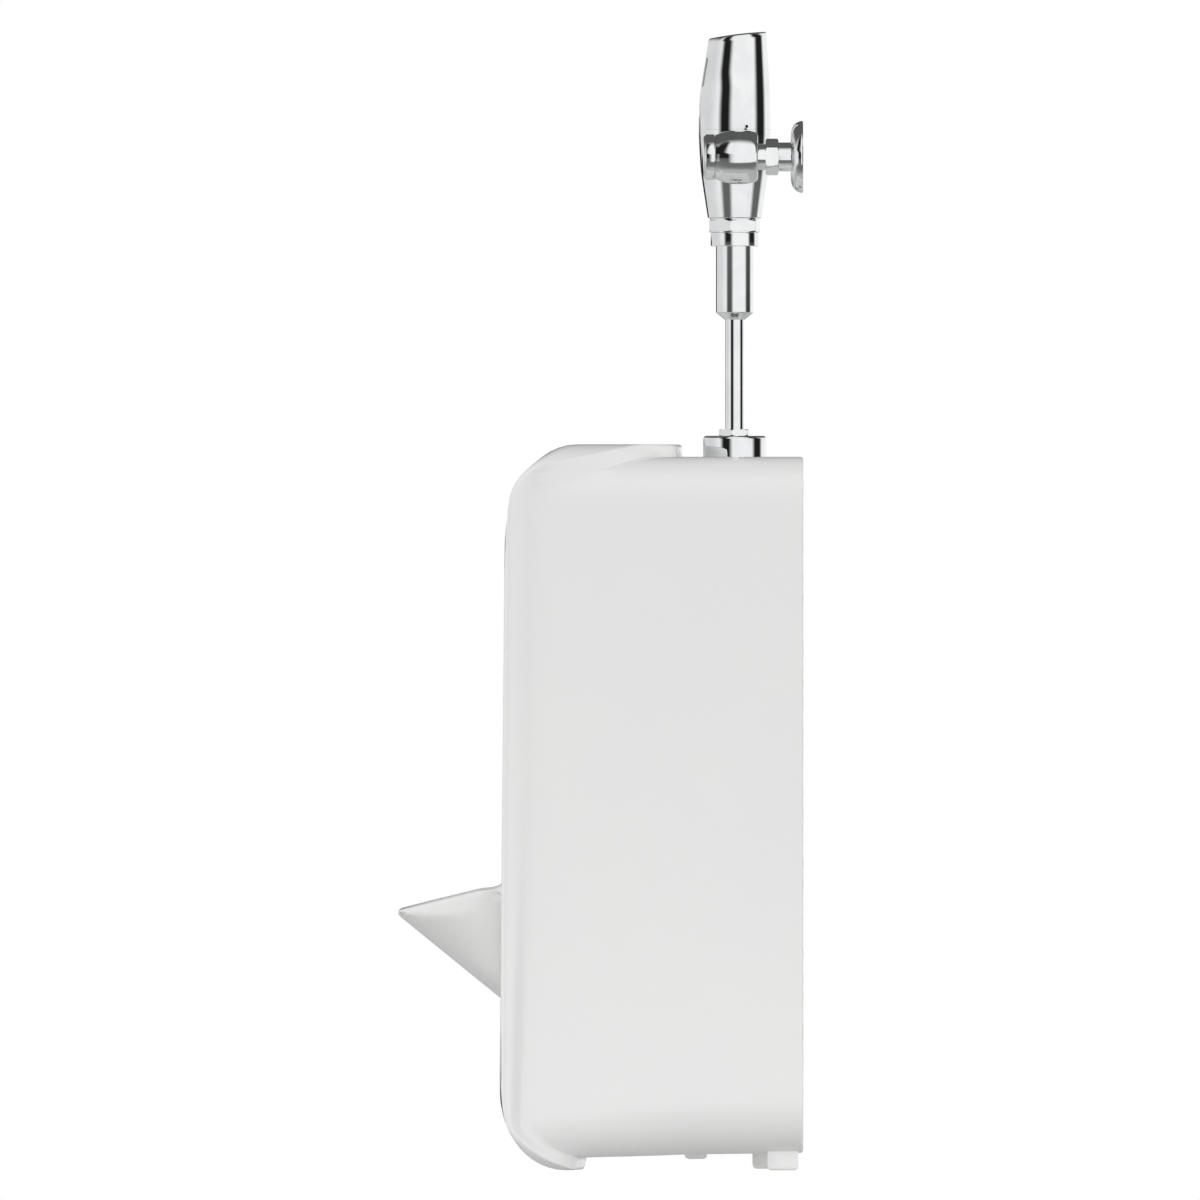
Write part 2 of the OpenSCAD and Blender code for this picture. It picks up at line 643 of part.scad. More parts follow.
// Hangers: a plate screwed to the wall, a shelf under the china's lug, and a lip in the lug's slot
module wall_hanger(x) {
  top_z = feet_z + hanger_seat_h;
  low_z = top_z - hanger_pitch - 34;
  difference() {
    union() {
      translate([x - hanger_w / 2, -hanger_t, low_z]) cube([hanger_w, hanger_t, top_z - low_z]);
      translate([x - hanger_w / 2, -hanger_lip_d - hanger_t, top_z - hanger_t])
        cube([hanger_w, hanger_lip_d + hanger_t, hanger_t]);
      translate([x - hanger_w / 2, -hanger_lip_d - hanger_t, top_z - hanger_t])
        cube([hanger_w, hanger_t, hanger_lip_h + hanger_t]);
    }
    for (i = [0, 1]) from_wall(x, low_z + 12 + i * hanger_pitch) translate([0, 0, -over])
      cylinder(r = hanger_hole_r, h = hanger_t + 2 * over);
  }
}
module wall_hanger_left() color(steel) wall_hanger(-hanger_x);
module wall_hanger_right() color(steel) wall_hanger(hanger_x);

// Spud: the china is clamped between its flange below and its locknut above
spud_seal_t = 3;
spud_flange_r = spud_r + 8;
spud_flange_z = ledge_z - china_wall - 1.5 - spud_seal_t;
spud_shoulder_z = ledge_z + 14;
cover_top_z = ledge_z + spud_cover_h;
spud_top_z = cover_top_z + slip_nut_h * 0.4;
gasket_top_z = cover_top_z + slip_nut_h * 0.7;
slip_gap = 0.3;
nut_turn = 50;
module spud() color(brass) on_valve_axis() difference() {
  union() {
    translate([0, 0, spud_flange_z - 4]) cylinder(r = spud_flange_r, h = 4);
    translate([0, 0, spud_flange_z - 1]) cylinder(r = spud_r, h = spud_shoulder_z - spud_flange_z + 1);
    translate([0, 0, spud_shoulder_z - 1]) cylinder(r = spud_thread_r, h = spud_top_z - spud_shoulder_z + 1);
  }
  translate([0, 0, spud_flange_z - 5]) cylinder(r = tube_r + slip_gap, h = 100);
}
module spud_seal() color(rubber) on_valve_axis()
  ring(spud_flange_r, spud_r, spud_flange_z, spud_flange_z + spud_seal_t);
module spud_washer() color(rubber) on_valve_axis() ring(spud_r + 11, spud_r, ledge_z, ledge_z + 2);
module spud_locknut() color(brass) on_valve_axis() hex_nut(2 * spud_r + 14, spud_r, ledge_z + 2, ledge_z + 11);
module spud_cover() color(chrome) on_valve_axis() difference() {
  rotate_extrude() {
    translate([0, ledge_z]) square([spud_cover_r, spud_cover_h - 3]);
    translate([0, ledge_z]) square([spud_cover_r - 3, spud_cover_h]);
    translate([spud_cover_r - 3, cover_top_z - 3]) circle(r = 3);
  }
  translate([0, 0, ledge_z - over]) cylinder(r = spud_cover_r - 1.5, h = spud_cover_h - 1.5 + over);
  translate([0, 0, ledge_z]) cylinder(r = spud_thread_r + slip_gap, h = spud_cover_h + over);
}
module slip_nut() color(chrome) on_valve_axis() difference() {
  hex_nut(slip_nut_af, tube_r + slip_gap, cover_top_z, cover_top_z + slip_nut_h, nut_turn);
  translate([0, 0, cover_top_z - over]) cylinder(r = spud_thread_r, h = gasket_top_z - cover_top_z + over);
}
module slip_gasket() color(rubber) on_valve_axis() ring(spud_thread_r, tube_r, spud_top_z, gasket_top_z);

// Flush tube and vacuum breaker
coupling_top_z = supply_z - valve_drop - 2;
coupling_low_z = coupling_top_z - coupling_h;
collar_low_z = coupling_low_z - 0.5 - collar_h;
cone_top_z = collar_low_z - breaker_l;
cone_low_z = cone_top_z - cone_h;
breaker_flange_z = coupling_low_z + 2;
module flush_tube() color(chrome) on_valve_axis()
  ring(tube_r, tube_r - tube_wall, ledge_z - 6, cone_low_z + cone_h - 1);
module vacuum_breaker_tube() color(chrome) on_valve_axis() rotate_extrude()
  polygon([[tube_r, cone_low_z], [tube_r + 0.9, cone_low_z], [breaker_r, cone_top_z],
           [breaker_r, breaker_flange_z], [neck_r, breaker_flange_z], [neck_r, breaker_flange_z + 1.2],
           [breaker_r - tube_wall, breaker_flange_z + 1.2], [breaker_r - tube_wall, cone_top_z + 4],
           [tube_r, cone_top_z - 1]]);
module breaker_sack() color(rubber) on_valve_axis() rotate_extrude()
  polygon([[neck_r, breaker_flange_z + 1.2], [neck_r, breaker_flange_z + 2.5], [11, breaker_flange_z + 2.5],
           [6, breaker_flange_z - 34], [8, breaker_flange_z - 34], [13, breaker_flange_z + 1.2]]);
module breaker_cage() color(grey_plastic) on_valve_axis() difference() {
  rotate_extrude()
    polygon([[13.4, breaker_flange_z + 1.2], [breaker_r - tube_wall, breaker_flange_z + 1.2],
             [breaker_r - tube_wall, breaker_flange_z - 5], [12.5, breaker_flange_z - 40],
             [10.5, breaker_flange_z - 40], [14.6, breaker_flange_z - 5]]);
  for (turn = [0, 60, 120]) translate([0, 0, breaker_flange_z - 22]) rotate([90, 0, turn]) cylinder(r = 4, h = 60, center = true);
}
module breaker_collar() color(chrome) on_valve_axis() ring(collar_r, breaker_r, collar_low_z, coupling_low_z - 0.5);
module coupling_nut() color(chrome) on_valve_axis() difference() {
  union() {
    hex_nut(coupling_af, breaker_r, coupling_low_z, coupling_top_z, nut_turn);
    ring(coupling_af / 2 + 2.2, breaker_r, coupling_low_z - 0.5, coupling_low_z + 0.8);
  }
  translate([0, 0, breaker_flange_z]) cylinder(r = neck_r, h = coupling_h);
}

// Valve body: a piston chamber above, the outlet bore below, and the inlet from the tailpiece
seat_z = supply_z - 14;
body_foot_z = supply_z - valve_drop;
cover_seat_z = seam_z - 3.5;
cover_seat_r = chamber_r + 5;
inlet_r = tailpiece_r - tailpiece_wall;
boss_r = tailpiece_r + 3;
tail_start_x = valve_r + 2;
screw_pcd_r = chamber_r + 2.7;
module valve_body() color(chrome) on_valve_axis() difference() {
  union() {
    rotate_extrude()
      polygon([[0, breaker_flange_z + 2.5], [neck_r, breaker_flange_z + 2.5], [neck_r, coupling_top_z + 0.2],
               [valve_foot_r - 2, coupling_top_z + 0.2], [valve_foot_r - 2, body_foot_z - 0.5],
               [valve_foot_r, body_foot_z], [valve_r - 2, supply_z - 11], [valve_r - 0.5, supply_z + 10],
               [valve_r, seam_z - 6], [valve_r, seam_z], [0, seam_z]]);
    translate([0, 0, supply_z]) rotate([0, 90, 0]) cylinder(r = boss_r, h = valve_r + 12);
  }
  translate([0, 0, breaker_flange_z]) cylinder(r = outlet_bore_r, h = 100);
  translate([0, 0, seat_z]) cylinder(r = chamber_r, h = 100);
  translate([0, 0, cover_seat_z]) cylinder(r = cover_seat_r, h = 20);
  translate([0, 0, supply_z]) rotate([0, 90, 0]) cylinder(r = inlet_r, h = 100);
  translate([tail_start_x, 0, supply_z]) rotate([0, 90, 0]) cylinder(r = tailpiece_r, h = 100);
  for (turn = [45:90:315]) rotate([0, 0, turn]) translate([screw_pcd_r, 0, cover_seat_z - 9]) cylinder(r = 1.5, h = 20);
}

// Piston: a guide in the bore, a seal over the seat and a cup in the chamber
piston_rest = 0.3;
seal_t = 2;
disc_r = outlet_bore_r + 3.5;
cup_low_z = supply_z + 14;
cup_t = cover_seat_z - piston_travel - 0.5 - cup_low_z;
module flush_piston() color(brass) on_valve_axis() difference() {
  union() {
    translate([0, 0, seat_z - 9]) cylinder(r = outlet_bore_r - running_gap, h = 9 + piston_rest + seal_t);
    translate([0, 0, seat_z + piston_rest + seal_t]) cylinder(r = disc_r, h = 2.5);
    translate([0, 0, seat_z]) cylinder(r = 8, h = cup_low_z - seat_z + 1);
    translate([0, 0, cup_low_z]) cylinder(r = chamber_r - running_gap, h = cup_t);
  }
  translate([0, 0, seat_z - 10]) cylinder(r = outlet_bore_r - 2, h = 8.5);
  translate([0, 0, seat_z - 10]) cylinder(r = 2.5, h = 60);
  for (turn = [0, 90]) translate([0, 0, seat_z - 6]) rotate([0, 0, turn])
    cube([60, 8, 7], center = true);
}
module piston_seal() color(rubber) on_valve_axis()
  ring(disc_r, outlet_bore_r - running_gap, seat_z + piston_rest, seat_z + piston_rest + seal_t);

// Inner cover over the chamber, held down by four screws, with the solenoid in its middle
inner_top_z = cover_seat_z + 5;
module inner_cover() color(brass) on_valve_axis() difference() {
  union() {
    translate([0, 0, cover_seat_z]) cylinder(r = cover_seat_r - 0.3, h = 5);
    translate([0, 0, inner_top_z - 1]) cylinder(r = coil_r + 4, h = 3);
  }
  translate([0, 0, inner_top_z]) cylinder(r = coil_r, h = 10);
  translate([0, 0, cover_seat_z - over]) cylinder(r = 2, h = 10);
  for (turn = [45:90:315]) rotate([0, 0, turn]) translate([screw_pcd_r, 0, cover_seat_z - over]) cylinder(r = 1.7, h = 10);
}
module inner_cover_screws() color(steel) on_valve_axis() for (turn = [45:90:315])
  rotate([0, 0, turn]) translate([screw_pcd_r, 0, 0]) {
    translate([0, 0, cover_seat_z - 8]) cylinder(r = 1.5, h = 14);
    difference() {
      translate([0, 0, inner_top_z]) cylinder(r = 2.6, h = 2);
      translate([0, 0, inner_top_z + 1]) cylinder(r = 1.3, h = 3, $fn = 6);
    }
  }
coil_low_z = inner_top_z;
coil_top_z = coil_low_z + coil_h;
plunger_l = coil_h * 0.55;
plunger_z = coil_low_z + 2.3;
module solenoid_coil() color(dark_plastic) on_valve_axis() difference() {
  translate([0, 0, coil_low_z]) cylinder(r = coil_r, h = coil_h);
  translate([0, 0, coil_low_z + 2]) cylinder(r = plunger_r + running_gap, h = coil_h - 4);
}
module solenoid_plunger() color(steel) on_valve_axis()
  translate([0, 0, plunger_z]) cylinder(r = plunger_r, h = plunger_l);
module plunger_spring() color(steel) on_valve_axis()
  ring(plunger_r - 0.5, plunger_r - 1.7, plunger_z + plunger_l, coil_top_z - 2);

// Cover: upright at the seam, then tapering to a slanted top that leans to the wall
front_top_z = seam_z + cover_h;
module cover_form(inset) {
  straight_z = seam_z + cover_straight_h;
  slant = atan2(cover_slant, 2 * cover_top_r);
  hull() {
    translate([0, 0, seam_z]) cylinder(r = valve_r - inset, h = 1, $fn = 48);
    translate([0, 0, straight_z - 1]) cylinder(r = valve_r - inset - 0.3, h = 1, $fn = 48);
    translate([0, cover_lean, front_top_z + cover_slant / 2 - 3 - inset]) rotate([slant, 0, 0])
      cylinder(r = cover_top_r - inset, h = 1, center = true, $fn = 48);
    translate([0, cover_lean, front_top_z + cover_slant / 2 - inset]) rotate([slant, 0, 0])
      cylinder(r = cover_top_r - inset - 1.6, h = 0.6, center = true, $fn = 48);
  }
}
window_low_z = seam_z + window_rise;
window_fit = 0.3;
window_back = 26;
module window_block(grow) {
  translate([-window_w / 2 - grow, -valve_r - 2, window_low_z - grow])
    cube([window_w + 2 * grow, valve_r + 2 - window_back + 6, window_h + 2 * grow]);
}
button_z = seam_z + button_rise;
button_gap = 0.3;
cover_screw_z = seam_z + 2.6;
cover_screw_turn = 19.5;
module cover_screw_cut(r, start, length) {
  for (turn = [cover_screw_turn, 180 - cover_screw_turn]) rotate([0, 0, turn])
    translate([start, 0, cover_screw_z]) rotate([0, 90, 0]) cylinder(r = r, h = length);
}
module top_cover() color(chrome) on_valve_axis() difference() {
  cover_form(0);
  cover_form(cover_wall);
  translate([0, 0, seam_z - over]) cylinder(r = valve_r - cover_wall, h = over + 0.5);
  window_block(0);
  translate([0, -valve_r - over, button_z]) rotate([-90, 0, 0]) cylinder(r = button_r + button_gap, h = 12);
  cover_screw_cut(cover_screw_r, valve_r - 6, 10);
}
module sensor_window() color(dark_plastic) on_valve_axis() intersection() {
  difference() {
    cover_form(0.2);
    cover_form(cover_wall + 1);
  }
  window_block(-window_fit / 2);
}
module cover_screws() color(steel) on_valve_axis() difference() {
  cover_screw_cut(cover_screw_r, cover_seat_r - 0.3, valve_r - cover_seat_r - 0.2);
  cover_screw_cut(cover_screw_r * 0.55, valve_r - 2, 6);
}

// Electronics stand on a chassis that sits on the coil
chassis_r = 25;
module chassis() color(grey_plastic) on_valve_axis() difference() {
  union() {
    translate([0, 0, coil_top_z]) cylinder(r = chassis_r, h = 2);
    translate([-5, -coil_r - 3, button_z - 7]) cube([10, 2.5, coil_top_z - button_z + 8]);
    translate([-15, -21, coil_top_z + 1]) cube([30, 2, 9]);
  }
  translate([0, 0, coil_top_z - over]) cylinder(r = 3, h = 5);
}
electronics_z = coil_top_z + 2;
module sensor_module() color(dark_plastic) on_valve_axis() difference() {
  translate([-12, -18.9, electronics_z]) cube([24, 12, window_low_z + window_h - 8 - electronics_z]);
  for (side = [-1, 1]) translate([side * 6, -20, window_low_z + window_h * 0.4]) rotate([-90, 0, 0]) cylinder(r = 3, h = 4);
}
module circuit_board() color([0.05, 0.3, 0.15]) on_valve_axis()
  translate([-15, -6.9, electronics_z]) cube([30, 1.6, 40]);
module battery_pack() color(grey_plastic) on_valve_axis() for (side = [-1, 1])
  translate([side * (cell_r + 0.15), cell_r - 4.8, electronics_z]) {
    cylinder(r = cell_r, h = cell_l);
    translate([0, 0, cell_l]) cylinder(r = cell_r / 3, h = 1.2);
  }

// Override button: pushed in from the front against its spring
button_back = 22;
module override_button() color(chrome) on_valve_axis() difference() {
  union() {
    translate([0, -valve_r + 0.6, button_z]) rotate([-90, 0, 0]) cylinder(r = button_r, h = valve_r - 0.6 - button_back);
    translate([0, -valve_r + cover_wall + 1.6, button_z]) rotate([-90, 0, 0]) cylinder(r = button_r + 1.2, h = 1.6);
  }
  translate([0, -valve_r + 7, button_z]) rotate([-90, 0, 0]) cylinder(r = button_r - 1.5, h = 30);
}
module button_spring() color(steel) on_valve_axis()
  translate([0, -valve_r + 7, button_z]) rotate([-90, 0, 0])
    ring(button_r - 1.8, button_r - 3, 0, valve_r - 7 - coil_r - 3);

// Tailpiece from the valve body to the stop
stop_boss_r = tailpiece_r + 3.5;
stop_boss_x = stop_x - barrel_r - 27;
module along_x(x) on_valve_axis() translate([x, 0, supply_z]) rotate([0, 90, 0]) children();
tail_end_x = stop_x - barrel_r;
module tailpiece() color(chrome) along_x(0) ring(tailpiece_r, inlet_r, tail_start_x, tail_end_x);
ring_t = 2;
module tailpiece_ring() color(rubber) along_x(0)
  ring(stop_boss_r - 0.5, tailpiece_r, stop_boss_x - ring_t, stop_boss_x);
module tailpiece_nut() color(chrome) along_x(0) difference() {
  hex_nut(tailpiece_nut_af, tailpiece_r + slip_gap, stop_boss_x - ring_t - 4, stop_boss_x + 12);
  translate([0, 0, stop_boss_x - ring_t]) cylinder(r = stop_boss_r, h = 40);
}

// Control stop: distances are depths from the wall
barrel_front_d = barrel_d + barrel_l;
seat_d = barrel_d + 6;
neck_end_d = barrel_d - 12;
stop_bore_r = 9;
module stop_body() color(chrome) difference() {
  union() {
    on_stop_axis() rotate_extrude()
      polygon([[0, neck_end_d], [stop_neck_r, neck_end_d], [stop_neck_r, barrel_d],
               [barrel_back_r - 2.5, barrel_d], [barrel_back_r, barrel_d + 2.5],
               [barrel_r - 0.3, barrel_d + barrel_l * 0.36], [barrel_r, barrel_d + barrel_l * 0.5],
               [barrel_r - 0.8, barrel_d + barrel_l * 0.68], [barrel_front_r, barrel_front_d - 1],
               [barrel_front_r - 1, barrel_front_d], [0, barrel_front_d]]);
    along_x(0) translate([0, 0, stop_boss_x]) cylinder(r = stop_boss_r, h = stop_x - stop_boss_x - 10);
  }
  on_stop_axis() translate([0, 0, seat_d]) cylinder(r = stop_chamber_r, h = 100);
  on_stop_axis() translate([0, 0, neck_end_d - over]) cylinder(r = stop_bore_r, h = 40);
  along_x(0) translate([0, 0, stop_boss_x - over]) cylinder(r = tailpiece_r + slip_gap, h = tail_end_x + 0.5 + over - stop_boss_x);
  along_x(0) translate([0, 0, stop_boss_x]) cylinder(r = inlet_r, h = stop_x - stop_boss_x);
}
bonnet_d = barrel_front_d - 8;
bonnet_flange_d = barrel_front_d + 4;
cap_wall = 2;
module stop_bonnet() color(brass) on_stop_axis() difference() {
  union() {
    translate([0, 0, bonnet_d]) cylinder(r = stop_chamber_r, h = 9);
    translate([0, 0, barrel_front_d]) cylinder(r = stop_cap_r - cap_wall, h = 4);
  }
  translate([0, 0, bonnet_d - over]) cylinder(r = stop_screw_r + running_gap, h = 20);
}
stem_start_d = seat_d + 9;
poppet_d = seat_d + poppet_travel + 0.4;
module stop_screw() color(brass) on_stop_axis() difference() {
  union() {
    translate([0, 0, stem_start_d]) cylinder(r = stop_screw_r, h = bonnet_flange_d - stem_start_d + 1);
    translate([0, 0, bonnet_flange_d + 0.3]) cylinder(r = stop_screw_r + 2, h = 3);
  }
  translate([-10, -0.6, bonnet_flange_d + 1.8]) cube([20, 1.2, 5]);
}
poppet_r = stop_chamber_r - 3;
poppet_hub_r = stop_screw_r + 3;
module stop_poppet() color(brass) on_stop_axis() difference() {
  union() {
    translate([0, 0, poppet_d]) cylinder(r = poppet_r, h = 2.5);
    translate([0, 0, poppet_d]) cylinder(r = poppet_hub_r, h = 15);
  }
  translate([0, 0, poppet_d + 2]) cylinder(r = stop_screw_r + running_gap, h = 20);
}
module stop_spring() color(steel) on_stop_axis() ring(poppet_hub_r + 2, poppet_hub_r + 0.6, poppet_d + 2.5, bonnet_d);
module stop_cap() color(chrome) on_stop_axis() difference() {
  rotate_extrude()
    polygon([[0, barrel_front_d], [stop_cap_r - 0.8, barrel_front_d], [stop_cap_r, barrel_front_d + 0.8],
             [stop_cap_r, barrel_front_d + stop_cap_l - 1.5], [stop_cap_r - 1.5, barrel_front_d + stop_cap_l],
             [stop_cap_r * 0.75, barrel_front_d + stop_cap_l + stop_dome * 0.45],
             [stop_cap_r * 0.5, barrel_front_d + stop_cap_l + stop_dome * 0.78],
             [stop_cap_r * 0.25, barrel_front_d + stop_cap_l + stop_dome * 0.95],
             [0, barrel_front_d + stop_cap_l + stop_dome]]);
  translate([0, 0, barrel_front_d - over]) cylinder(r = stop_cap_r - cap_wall, h = stop_cap_l - 1 + over);
}

// Supply: the nut draws the adapter's flange onto the stop's neck
supply_nut_d = barrel_d - 7.5;
adapter_r = supply_bore_r + adapter_wall;
module supply_nut() color(chrome) on_stop_axis() difference() {
  hex_nut(supply_nut_af, adapter_r + 0.15, supply_nut_d - supply_nut_l, supply_nut_d, 30);
  translate([0, 0, neck_end_d - 2]) cylinder(r = stop_neck_r, h = 20);
}
module supply_adapter() color(brass) on_stop_axis() difference() {
  union() {
    cylinder(r = adapter_r, h = neck_end_d);
    translate([0, 0, neck_end_d - 2]) cylinder(r = stop_neck_r, h = 2);
  }
  translate([0, 0, -over]) cylinder(r = supply_bore_r, h = 60);
}
sleeve_end_d = supply_nut_d - supply_nut_l;
module supply_sleeve() color(chrome) on_stop_axis() ring(sleeve_r, sleeve_r - sleeve_wall, 0, sleeve_end_d);
flange_hole_r = sleeve_r + 0.1;
module wall_flange() color(chrome) on_stop_axis() difference() {
  rotate_extrude()
    polygon([[flange_hole_r, 0], [wall_flange_r - 1, 0], [wall_flange_r, 0.8], [wall_flange_r, 2],
             [wall_flange_r - 0.8, wall_flange_d * 0.38], [wall_flange_r - 2.6, wall_flange_d * 0.62],
             [wall_flange_r - 5.5, wall_flange_d * 0.82], [wall_flange_r - 9.5, wall_flange_d * 0.94],
             [wall_flange_r - 14, wall_flange_d], [flange_hole_r, wall_flange_d]]);
  difference() {
    translate([0, 0, -over]) cylinder(r = wall_flange_r - 5, h = 4 + over);
    translate([0, 0, -over]) cylinder(r = flange_hole_r + 3, h = 4 + 2 * over);
  }
  translate([0, 0, wall_flange_d - 3.2]) rotate([90, 0, 0]) cylinder(r = 1.5, h = 60);
}
module flange_screw() color(steel) on_stop_axis() translate([0, 0, wall_flange_d - 3.2]) rotate([90, 0, 0]) difference() {
  translate([0, 0, flange_hole_r]) cylinder(r = 1.5, h = 4);
  translate([0, 0, flange_hole_r + 2.5]) cylinder(r = 0.8, h = 6, $fn = 6);
}

china_body();
drain_strainer();
strainer_gasket();
strainer_screws();
outlet_flange();
outlet_gasket();
outlet_bolts();
outlet_nuts();
wall_hanger_left();
wall_hanger_right();
spud();
spud_seal();
spud_washer();
spud_locknut();
spud_cover();
slip_nut();
slip_gasket();
flush_tube();
vacuum_breaker_tube();
breaker_sack();
breaker_cage();
breaker_collar();
coupling_nut();
valve_body();
flush_piston();
piston_seal();
inner_cover();
inner_cover_screws();
solenoid_coil();
solenoid_plunger();
plunger_spring();
chassis();
sensor_module();
circuit_board();
battery_pack();
sensor_window();
top_cover();
cover_screws();
override_button();
button_spring();
tailpiece();
tailpiece_nut();
tailpiece_ring();
stop_body();
stop_bonnet();
stop_screw();
stop_poppet();
stop_spring();
stop_cap();
supply_nut();
supply_adapter();
supply_sleeve();
wall_flange();
flange_screw();
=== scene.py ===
import math

import bmesh
import bpy
import numpy as np
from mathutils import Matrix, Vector
from mathutils.bvhtree import BVHTree


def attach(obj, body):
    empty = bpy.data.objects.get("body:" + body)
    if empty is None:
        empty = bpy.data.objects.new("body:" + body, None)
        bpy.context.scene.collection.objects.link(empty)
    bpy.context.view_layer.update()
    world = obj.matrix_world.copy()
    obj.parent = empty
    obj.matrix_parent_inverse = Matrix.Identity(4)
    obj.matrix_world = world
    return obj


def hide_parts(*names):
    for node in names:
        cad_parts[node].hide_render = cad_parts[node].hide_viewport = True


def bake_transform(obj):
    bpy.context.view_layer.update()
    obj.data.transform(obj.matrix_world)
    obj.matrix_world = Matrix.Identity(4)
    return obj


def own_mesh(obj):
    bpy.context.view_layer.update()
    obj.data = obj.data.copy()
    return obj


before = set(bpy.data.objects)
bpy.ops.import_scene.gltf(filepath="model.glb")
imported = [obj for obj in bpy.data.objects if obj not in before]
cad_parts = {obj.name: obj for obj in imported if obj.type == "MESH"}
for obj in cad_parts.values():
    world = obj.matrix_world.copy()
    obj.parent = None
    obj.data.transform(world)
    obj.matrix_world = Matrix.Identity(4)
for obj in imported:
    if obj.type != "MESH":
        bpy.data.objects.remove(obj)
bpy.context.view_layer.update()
scene = bpy.context.scene


# Studio: a long lens looks square on at the user's right side, as in a catalogue picture.
# The room is white all round, with a few dark screens that only the polished metal shows,
# and a pale floor at the real distance below the hung urinal.
frame_width = 1.2
lens_mm = 1500.0
film_mm = 36.0
aim = Vector((0.115, -0.203, 0.4395))
camera_data = bpy.data.cameras.new("side_camera")
camera_data.lens = lens_mm
camera_data.sensor_width = film_mm
camera_distance = frame_width * lens_mm / film_mm
camera_data.clip_end = 2 * camera_distance
camera = bpy.data.objects.new("side_camera", camera_data)
scene.collection.objects.link(camera)
camera.location = aim + Vector((camera_distance, 0, 0))
camera.rotation_euler = (math.radians(90), 0, math.radians(90))
scene.camera = camera
scene.view_settings.view_transform = "Standard"


def add_node(tree, kind, place, **settings):
    made = tree.nodes.new(kind)
    made.location = place
    for name, value in settings.items():
        setattr(made, name, value)
    return made


def feed(tree, sockets, values):
    """Sets each socket to its number or colour, or links it to the output given for it."""
    for socket, value in zip(sockets, values):
        if isinstance(value, (int, float)):
            socket.default_value = value
        elif isinstance(value, tuple):
            socket.default_value = (*value, 1)
        else:
            tree.links.new(value, socket)


def sums(tree, operation, first, second=0.0, place=(0, 0)):
    made = add_node(tree, "ShaderNodeMath", place, operation=operation)
    feed(tree, made.inputs, (first, second))
    return made.outputs[0]


def spread(tree, value, low, high, to_low, to_high, place=(0, 0), kind="LINEAR"):
    """Maps a changing value from one range to another."""
    made = add_node(tree, "ShaderNodeMapRange", place, interpolation_type=kind)
    sockets = [made.inputs[name] for name in ("Value", "From Min", "From Max", "To Min", "To Max")]
    feed(tree, sockets, (value, low, high, to_low, to_high))
    return made.outputs["Result"]


def stepped(tree, value, low, high, to_low, to_high, place=(0, 0)):
    """A smooth step of value from one level to another."""
    return spread(tree, value, low, high, to_low, to_high, place, "SMOOTHSTEP")


def between(tree, value, low, high, soft, place=(0, 0)):
    """1 where value lies from low to high, with soft edges."""
    across, down = place
    rising = stepped(tree, value, low - soft, low + soft, 0, 1, place)
    falling = stepped(tree, value, high + soft, high - soft, 0, 1, (across, down - 180))
    return sums(tree, "MULTIPLY", rising, falling, (across + 200, down))


def towards(tree, share, value, target, place=(0, 0)):
    """value moved by share towards target."""
    made = add_node(tree, "ShaderNodeMix", place, data_type="FLOAT")
    feed(tree, (made.inputs[0], made.inputs[2], made.inputs[3]), (share, value, target))
    return made.outputs[0]


def axes_of(tree, vector, place):
    """The x, y and z of a vector, each as an output of its own."""
    made = add_node(tree, "ShaderNodeSeparateXYZ", place)
    tree.links.new(vector, made.inputs[0])
    return made.outputs[:]


def in_degrees(tree, operation, first, second, place):
    angle = sums(tree, operation, first, second, place)
    return sums(tree, "MULTIPLY", angle, 180 / math.pi, (place[0] + 150, place[1]))


def diagonal(tree, first, second, place):
    """The length of the diagonal over two sides."""
    across, down = place
    squares = [sums(tree, "MULTIPLY", side, side, (across, down - 200 * k))
               for k, side in enumerate((first, second))]
    total = sums(tree, "ADD", *squares, (across + 150, down - 100))
    return sums(tree, "SQRT", total, 0.0, (across + 300, down - 100))


world = bpy.data.worlds.new("white_studio")
scene.world = world
world.use_nodes = True
room = world.node_tree
room.nodes.clear()
way = add_node(room, "ShaderNodeTexCoord", (-1400, 0))
way_x, way_y, way_z = axes_of(room, way.outputs["Generated"], (-1200, 0))
bearing = in_degrees(room, "ARCTAN2", way_y, way_x, (-1000, 150))
rise = in_degrees(room, "ARCSINE", way_z, 0.0, (-1000, -150))

# Two tall screens stand in front and behind the side that is seen, and lean over higher up.
lean_of_screens = stepped(room, rise, 9, 19, 0, 15, (-850, 500))
leaning = sums(room, "ADD", bearing, lean_of_screens, (-700, 900))
screen_soft = 9
front_screen = between(room, leaning, -50, -14, screen_soft, (-650, 1100))
rear_screen = between(room, leaning, 72, 112, screen_soft, (-650, 700))
screens = sums(room, "MAXIMUM", front_screen, rear_screen, (-200, 600))
behind = sums(room, "MULTIPLY", stepped(room, bearing, -148, -140, 1, 0, (-650, 400)),
              stepped(room, rise, -1, 3, 1, 0, (-650, 200)), (-400, 300))
screens = sums(room, "MAXIMUM", screens, behind, (-100, 400))
screens = sums(room, "MULTIPLY", screens, between(room, rise, -30, 66, 5, (-650, -300)), (0, 300))
screen_dark = stepped(room, rise, -12, -1, 0.86, 0.985, (-650, -500))
screens = sums(room, "MULTIPLY", screens, screen_dark, (100, 300))

